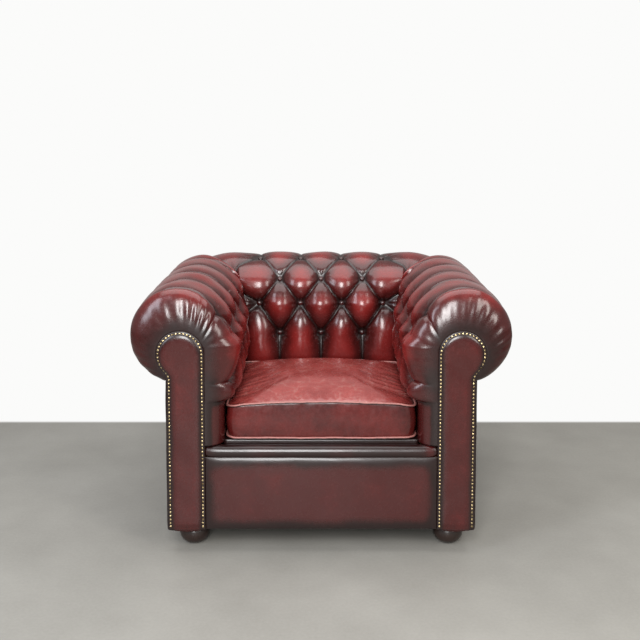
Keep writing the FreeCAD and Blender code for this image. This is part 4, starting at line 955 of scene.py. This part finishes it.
def rounded_square(turn, half_x, half_y, corner):
    """Outline of a rectangle with round corners: place at a share of the way round, front middle first."""
    straight_x, straight_y = half_x - corner, half_y - corner
    arc = corner * math.pi / 2
    legs = np.cumsum([0, straight_x, arc, 2 * straight_y, arc, straight_x])
    # the left half mirrors the right one
    left = turn % 1.0 > 0.5
    way = 2 * legs[-1] * np.where(left, 1.0 - turn % 1.0, turn % 1.0)
    leg = np.clip(np.searchsorted(legs, way, side="right") - 1, 0, 4)
    part = way - legs[leg]
    rise, run = corner * np.sin(part / corner), corner * np.cos(part / corner)
    side, end = half_x + 0 * part, half_y + 0 * part
    x = np.choose(leg, [part, straight_x + rise, side, straight_x + run, straight_x - part])
    y = np.choose(leg, [-end, -straight_y - run, part - straight_y, straight_y + rise, end])
    return np.where(left, -x, x), y


CUSHION_CORNER = 0.034


def top_seam(sizes, x, y):
    """Height of the top seam: falls to the back, bowed up along the middle of the front."""
    share = (y - sizes.front) / (sizes.back - sizes.front)
    bow = sizes.bow * (1 - (x / sizes.half_width) ** 2) * ease(1 - share * 3)
    sag = -0.004 * ease((np.abs(x) / sizes.half_width - 0.8) / 0.2) * ease(1 - share * 3)
    return sizes.front_edge + (sizes.back_edge - sizes.front_edge) * share + bow + sag


def cushion_form(sizes):
    """Cushion as one closed grid: rings from the top's middle out over both seams to the base's middle."""
    turn = np.linspace(0, 1, 240, endpoint=False)
    half_x, half_y = sizes.half_width, (sizes.back - sizes.front) / 2
    centre_y = (sizes.back + sizes.front) / 2
    rings = []
    for share in np.linspace(0, 1, 34):
        x, y = rounded_square(turn, half_x, half_y, CUSHION_CORNER)
        x, y = x * share, y * share
        seam = top_seam(sizes, x / max(share, 1e-6), y / max(share, 1e-6) + centre_y)
        middle = top_seam(sizes, 0 * x, 0 * y + centre_y)
        swell = (1 - np.abs(x / half_x) ** 2.6) * (1 - np.abs(y / half_y) ** 2.6)
        level = middle + (seam - middle) * share**2
        rings.append(np.stack([x, y + centre_y, level + sizes.crown * swell**0.8], axis=1))
    for share in np.linspace(0, 1, 14)[1:-1]:
        draw = -0.004 * math.sin(math.pi * share)
        x, y = rounded_square(turn, half_x - draw, half_y - draw, CUSHION_CORNER)
        top = top_seam(sizes, x, y + centre_y)
        rings.append(np.stack([x, y + centre_y, top + (sizes.low_edge - top) * share], axis=1))
    for share in np.linspace(1, 0, 26):
        corner = CUSHION_CORNER * max(share, 0.02)
        x, y = rounded_square(turn, half_x * share, half_y * share, corner)
        drop = 0.0055 * ease((1 - share) / 0.12)
        rings.append(np.stack([x, y + centre_y, np.full(len(x), sizes.low_edge - drop)], axis=1))
    return np.stack(rings)


# width of the band that holds the seams, and the furthest that the cloth may move the cover
RIM = 0.012
FURTHEST = 0.009
CLOTH = {
    "vertex_group_mass": "seams",
    "use_pressure": True,
    "uniform_pressure_force": 1.6,
    "mass": 0.35,
    "tension_stiffness": 22,
    "compression_stiffness": 22,
    "bending_stiffness": 4.0,
    "shrink_min": -0.006,
    "quality": 4,
}


def places_of(mesh):
    """Places of a mesh's vertices."""
    places = np.empty(len(mesh.vertices) * 3)
    mesh.vertices.foreach_get("co", places)
    return places.reshape(-1, 3)


def settle(made, sizes):
    """Cloth: the cover is remeshed, held at its seams, blown up a little and kept within 9 mm."""
    made.data.remesh_voxel_size = sizes.voxel
    with bpy.context.temp_override(object=made, active_object=made, selected_objects=[made]):
        bpy.ops.object.voxel_remesh()
    work = made.data
    rest = places_of(work)
    top = top_seam(sizes, rest[:, 0], rest[:, 1])
    rim = np.abs(rest[:, 0]) > sizes.half_width - RIM
    rim |= (rest[:, 1] < sizes.front + RIM) | (rest[:, 1] > sizes.back - RIM)
    seam = rim & ((np.abs(rest[:, 2] - top) < RIM / 2) | (np.abs(rest[:, 2] - sizes.low_edge) < RIM / 2))
    pins = made.vertex_groups.new(name="seams")
    pins.add(np.nonzero(seam | (rest[:, 2] < sizes.low_edge - 0.004))[0].tolist(), 1.0, "REPLACE")
    cloth = made.modifiers.new("stuffing", "CLOTH")
    for name, value in CLOTH.items():
        setattr(cloth.settings, name, value)
    cloth.settings.effector_weights.gravity = 0.0
    cloth.point_cache.frame_start, cloth.point_cache.frame_end = 1, sizes.steps
    scene = bpy.context.scene
    for frame in range(1, sizes.steps + 1):
        scene.frame_set(frame)
    shown = made.evaluated_get(bpy.context.evaluated_depsgraph_get())
    moved = places_of(shown.to_mesh()) - rest
    shown.to_mesh_clear()
    far = np.linalg.norm(moved, axis=1, keepdims=True)
    on_top = ease((rest[:, 2] - top) / 0.006)[:, None]
    rest = rest + moved * np.minimum(1.0, FURTHEST / np.maximum(far, 1e-9)) * (0.3 + 0.7 * on_top)
    made.modifiers.clear()
    scene.frame_set(1)
    work.vertices.foreach_set("co", rest.reshape(-1))


class ARMCHAIR_OT_cushion(bpy.types.Operator):
    """Loose seat cushion with its boxing, settled as cloth between its seams"""

    bl_idname = "armchair.cushion"
    bl_label = "Seat cushion"

    def execute(self, context):
        sizes, colours = context.scene.armchair_cushion, context.scene.armchair_finishes
        shades = colours.recess_wax_and_painted_shade, colours.seat, colours.seat_rubbed
        worn = {"veins": 0.8, "vein_shade": colours.piping, "wear": 0.1, "gloss": 0.25}
        finish = antiqued_hide("worn_seat_hide", *shades, **worn)
        made = piece("cushion", [(cushion_form(sizes), 0.5)], finish, round_columns=True)
        settle(made, sizes)
        work = made.data
        points = places_of(work)
        # keeps off the deck, the zip and the arms' walls
        deck, zip_gap, wall = 0.3102, 0.0002, 0.2685
        points[:, 2] = np.maximum(points[:, 2], deck)
        points[:, 1] = np.minimum(points[:, 1], sizes.back - zip_gap)
        points[:, 0] = np.clip(points[:, 0], -wall, wall)
        work.vertices.foreach_set("co", points.reshape(-1))
        top = top_seam(sizes, points[:, 0], points[:, 1])
        near_rim = np.clip((np.abs(points[:, 0]) / sizes.half_width - 0.86) / 0.14, 0, 1)
        crest = np.where(points[:, 2] > top + 0.001, 0.85 - 0.35 * near_rim, 0.34)
        if "crest" not in work.attributes:
            work.attributes.new("crest", "FLOAT", "POINT")
        work.attributes["crest"].data.foreach_set("value", crest.astype(np.float32))
        if not work.materials:
            work.materials.append(finish)
        work.shade_smooth()
        finer = made.modifiers.new("smooth", "SUBSURF")
        finer.levels = finer.render_levels = 1
        fit(made, CUSHION, "cushion_leather", "cushion_cover", "cushion_core")
        return {"FINISHED"}


PIPING_RADIUS, PIPING_SIDES = 0.0034, 14
# how far the piping stands out from the seam, and its corners' radius
PIPING_OUT, PIPING_CORNER = 0.0025, 0.0365


class ARMCHAIR_OT_piping(bpy.types.Operator):
    """Piping round both seams of the cushion"""

    bl_idname = "armchair.piping"
    bl_label = "Cushion piping"

    def execute(self, context):
        sizes, colours = context.scene.armchair_cushion, context.scene.armchair_finishes
        finish = piping_wear_and_painted_highlight("hide_of_piping_wear_and_painted_highlight", colours.recess_wax_and_painted_shade, colours.piping)
        turn = np.linspace(0, 1, 420, endpoint=False)
        around = np.linspace(0, 2 * math.pi, PIPING_SIDES, endpoint=False)
        centre_y, half_y = (sizes.back + sizes.front) / 2, (sizes.back - sizes.front) / 2
        for name in ("top", "bottom"):
            x, y = rounded_square(turn, sizes.half_width + PIPING_OUT, half_y + PIPING_OUT, PIPING_CORNER)
            y = y + centre_y
            wave = 0.0007 * ripple(x, y, 61)
            level = top_seam(sizes, x, y) + 0.002 if name == "top" else sizes.low_edge - 0.001 + 0 * x
            path = np.stack([x, y, level + wave], axis=1)
            rings = tube(np.concatenate([path[-1:], path, path[:1]]), PIPING_RADIUS, PIPING_SIDES)[1:-1]
            # light on the top of the cord and dark under it: a painted highlight and painted shade
            crest = 0.5 + 0.5 * np.sin(around)[None] + 0 * rings[..., 0]
            made = piece(f"piping_{name}", [(rings, crest)], finish, round_rows=True, round_columns=True)
            fit(made, CUSHION, "piping_leather", f"cushion_piping_{name}")
        return {"FINISHED"}


FOOT = [
    (0.0, 0.004), (0.021, 0.004), (0.0265, 0.0055), (0.035, 0.0125), (0.0405, 0.0225),
    (0.0425, 0.033), (0.0405, 0.0435), (0.035, 0.0515), (0.0315, 0.0545), (0.0315, 0.0565),
    (0.035, 0.058), (0.0352, 0.0648), (0.0, 0.0649),
]


class ARMCHAIR_OT_feet(bpy.types.Operator):
    """Turned bun feet"""

    bl_idname = "armchair.feet"
    bl_label = "Feet"

    def execute(self, context):
        colours = context.scene.armchair_finishes
        finish = planed_wood("stained_turned_beech", colours.foot, "#33221c", 0.34, (20.0, 20.0, 3.0))
        profile = smooth_profile(FOOT, 120)
        profile[0, 0] = profile[-1, 0] = 0.0
        for corner in ("front_left", "front_right", "back_left", "back_right"):
            low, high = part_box(f"foot_{corner}")
            place = ((low.x + high.x) / 2, (low.y + high.y) / 2, 0.0)
            form = turned(profile, place, turns=64)
            made = piece(f"bun_foot_{corner}", [(form, 0.5)], finish, round_columns=True)
            fit(made, CHAIR, "stained_wood", f"foot_{corner}")
        return {"FINISHED"}


class ARMCHAIR_OT_fittings(bpy.types.Operator):
    """Finishes of the frame, springs, webbing, nails and other carried-over nodes"""

    bl_idname = "armchair.fittings"
    bl_label = "Frame and fittings"

    def execute(self, context):
        colours = context.scene.armchair_finishes
        finishes = {
            "beech_frame": planed_wood("planed_beech", "#c9a276", "#b2875a", 0.62),
            "stained_wood": planed_wood("stained_beech_block", colours.foot, "#33221c", 0.4),
            "steel": aged_metal("zinc_plated_steel", "#8c8e90", "#b4b6b8", 0.38),
            "nail_brass": aged_metal("aged_brass", "#4c3d26", colours.brass, 0.36),
            "jute": woven_cloth("jute_webbing", "#8a6a41", "#a98a5c", 0.003),
            "stuffing": woven_cloth("cotton_wadding", "#d8cfb8", "#c6bb9f", 0.006),
            "dust_cloth": woven_cloth("black_cambric", "#161514", "#262423", 0.002),
            "zip_tape": woven_cloth("woven_zip_tape", "#2a1210", "#3d1c19", 0.002),
            "leather": hide_finish(),
            "cushion_leather": hide_finish(),
            "piping_leather": hide_finish(),
        }
        slots = {row["node"]: row["material_slot"] for row in FRAME["record"]["subparts"]}
        for node, thing in FRAME["nodes"].items():
            if not thing.material_slots:
                thing.data.materials.append(None)
            for slot in thing.material_slots:
                slot.material = finishes[slots[node]]
        return {"FINISHED"}


WALL = "#fbfbfa"
# name, place, size, colour and share of the lamp power of each lamp, and the point they all face
LAMPS = (
    ("window_left", (-2.1, -2.0, 1.9), (0.8, 1.8), "#eef3ff", 1.2),
    ("window_right", (1.9, -2.4, 1.9), (0.7, 1.8), "#fffaf4", 1.2),
    ("window_front", (-0.3, -3.5, 1.95), (1.0, 1.9), "#ffffff", 3.9),
    ("ceiling", (0.0, 0.0, 2.6), (3.0, 2.2), "#ffffff", 1.7),
)
LAMPS_AIM = (0.0, 0.0, 0.4)


class ARMCHAIR_OT_stage(bpy.types.Operator):
    """Floor, lamps and camera"""

    bl_idname = "armchair.stage"
    bl_label = "Stage"

    def execute(self, context):
        settings, scene = context.scene.armchair_stage, context.scene
        finish, tree, place = blank("pale_floated_concrete")
        grit, patches = noise(tree, place, 120.0, 4.0), noise(tree, place, 3.0, 6.0, 0.6)
        level = maths(tree, "MULTIPLY_ADD", grit, 0.35, patches)
        colour = mixture(tree, spread(tree, level, 0.4, 0.95), tone("#817f79"), tone("#93918b"))
        floor = put(tree, "ShaderNodeBsdfPrincipled", {}, {"Base Color": colour, "Roughness": 0.55})
        # past the wall's place the camera sees the floor as the white wall
        wall = put(tree, "ShaderNodeEmission", {}, {"Color": tone(WALL), "Strength": 1.0})
        depth = put(tree, "ShaderNodeSeparateXYZ", {}, {"Vector": place}).outputs["Y"]
        behind = spread(tree, depth, settings.wall_place, settings.wall_place + 0.03, smooth=True)
        ray = put(tree, "ShaderNodeLightPath", {}, {})
        seen = maths(tree, "MULTIPLY", ray.outputs["Is Camera Ray"], behind)
        both = put(tree, "ShaderNodeMixShader", {}, {0: seen, 1: floor.outputs[0], 2: wall.outputs[0]})
        put(tree, "ShaderNodeOutputMaterial", {}, {"Surface": both.outputs["Shader"]})
        x, y = np.meshgrid([-7.0, 7.0], [-7.0, 7.0], indexing="ij")
        piece("floor", [(np.stack([x, y, 0 * x], axis=-1), 0.5)], finish, closed=False)

        world = bpy.data.worlds.new("soft_daylight")
        world.use_nodes = True
        tree = world.node_tree
        tree.nodes.clear()
        # white for the camera, partly so for reflections, and an even low light for the rest
        ray = put(tree, "ShaderNodeLightPath", {}, {})
        seen = maths(tree, "MAXIMUM", ray.outputs["Is Camera Ray"], ray.outputs["Is Transmission Ray"])
        seen = maths(tree, "MULTIPLY_ADD", ray.outputs["Is Glossy Ray"], 0.3, seen, clamp=True)
        even = put(tree, "ShaderNodeBackground", {}, {"Color": tone("#f6f3ef"), "Strength": settings.sky})
        white = put(tree, "ShaderNodeBackground", {}, {"Color": tone(WALL), "Strength": 1.0})
        both = put(tree, "ShaderNodeMixShader", {}, {0: seen, 1: even.outputs[0], 2: white.outputs[0]})
        put(tree, "ShaderNodeOutputWorld", {}, {"Surface": both.outputs["Shader"]})
        scene.world = world

        for name, spot, extent, code, share in LAMPS:
            data = bpy.data.lights.new(name, "AREA")
            data.shape = "RECTANGLE"
            data.size, data.size_y = extent
            data.color = tone(code)[:3]
            data.energy = settings.lamp_power * share
            lamp = bpy.data.objects.new(name, data)
            lamp.location = spot
            aim = np.array(LAMPS_AIM) - np.array(spot)
            flat = math.hypot(aim[0], aim[1])
            lamp.rotation_euler = (math.pi / 2 + math.atan2(aim[2], flat), 0.0, math.atan2(-aim[0], aim[1]))
            scene.collection.objects.link(lamp)

        data = bpy.data.cameras.new("camera")
        data.lens = settings.focal_length
        data.sensor_width = 36.0
        data.shift_y = settings.shift
        camera = bpy.data.objects.new("camera", data)
        camera.location = settings.camera_place
        camera.rotation_euler = (math.pi / 2 - settings.pitch, 0.0, 0.0)
        scene.collection.objects.link(camera)
        scene.camera = camera
        scene.view_settings.view_transform = "Standard"
        return {"FINISHED"}


class ARMCHAIR_PT_build(bpy.types.Panel):
    """Lists every step of the armchair"""

    bl_idname = "ARMCHAIR_PT_build"
    bl_label = "Armchair"
    bl_space_type = "VIEW_3D"
    bl_region_type = "UI"
    bl_category = "Armchair"

    def draw(self, context):
        for step in STEPS:
            self.layout.operator(step.bl_idname)


STEPS = (
    ARMCHAIR_OT_stage,
    ARMCHAIR_OT_fittings,
    ARMCHAIR_OT_arms,
    ARMCHAIR_OT_back,
    ARMCHAIR_OT_buttons,
    ARMCHAIR_OT_facings,
    ARMCHAIR_OT_border,
    ARMCHAIR_OT_panels,
    ARMCHAIR_OT_cushion,
    ARMCHAIR_OT_piping,
    ARMCHAIR_OT_feet,
)
SETTINGS = {
    "armchair_tufts": TuftSizes,
    "armchair_scrolls": ScrollSizes,
    "armchair_cushion": CushionSizes,
    "armchair_finishes": Finishes,
    "armchair_stage": StageSettings,
}


def register():
    """Register the settings, operators and panel."""
    for name, kind in SETTINGS.items():
        bpy.utils.register_class(kind)
        setattr(bpy.types.Scene, name, PointerProperty(type=kind))
    for step in STEPS:
        bpy.utils.register_class(step)
    bpy.utils.register_class(ARMCHAIR_PT_build)


def unregister():
    """Take the settings, operators and panel away again."""
    bpy.utils.unregister_class(ARMCHAIR_PT_build)
    for step in reversed(STEPS):
        bpy.utils.unregister_class(step)
    for name, kind in reversed(SETTINGS.items()):
        delattr(bpy.types.Scene, name)
        bpy.utils.unregister_class(kind)


def main():
    """Build every piece in order."""
    register()
    for step in STEPS:
        getattr(bpy.ops.armchair, step.bl_idname.split(".")[1])()
    bpy.context.view_layer.update()


if __name__ == "__main__":
    main()
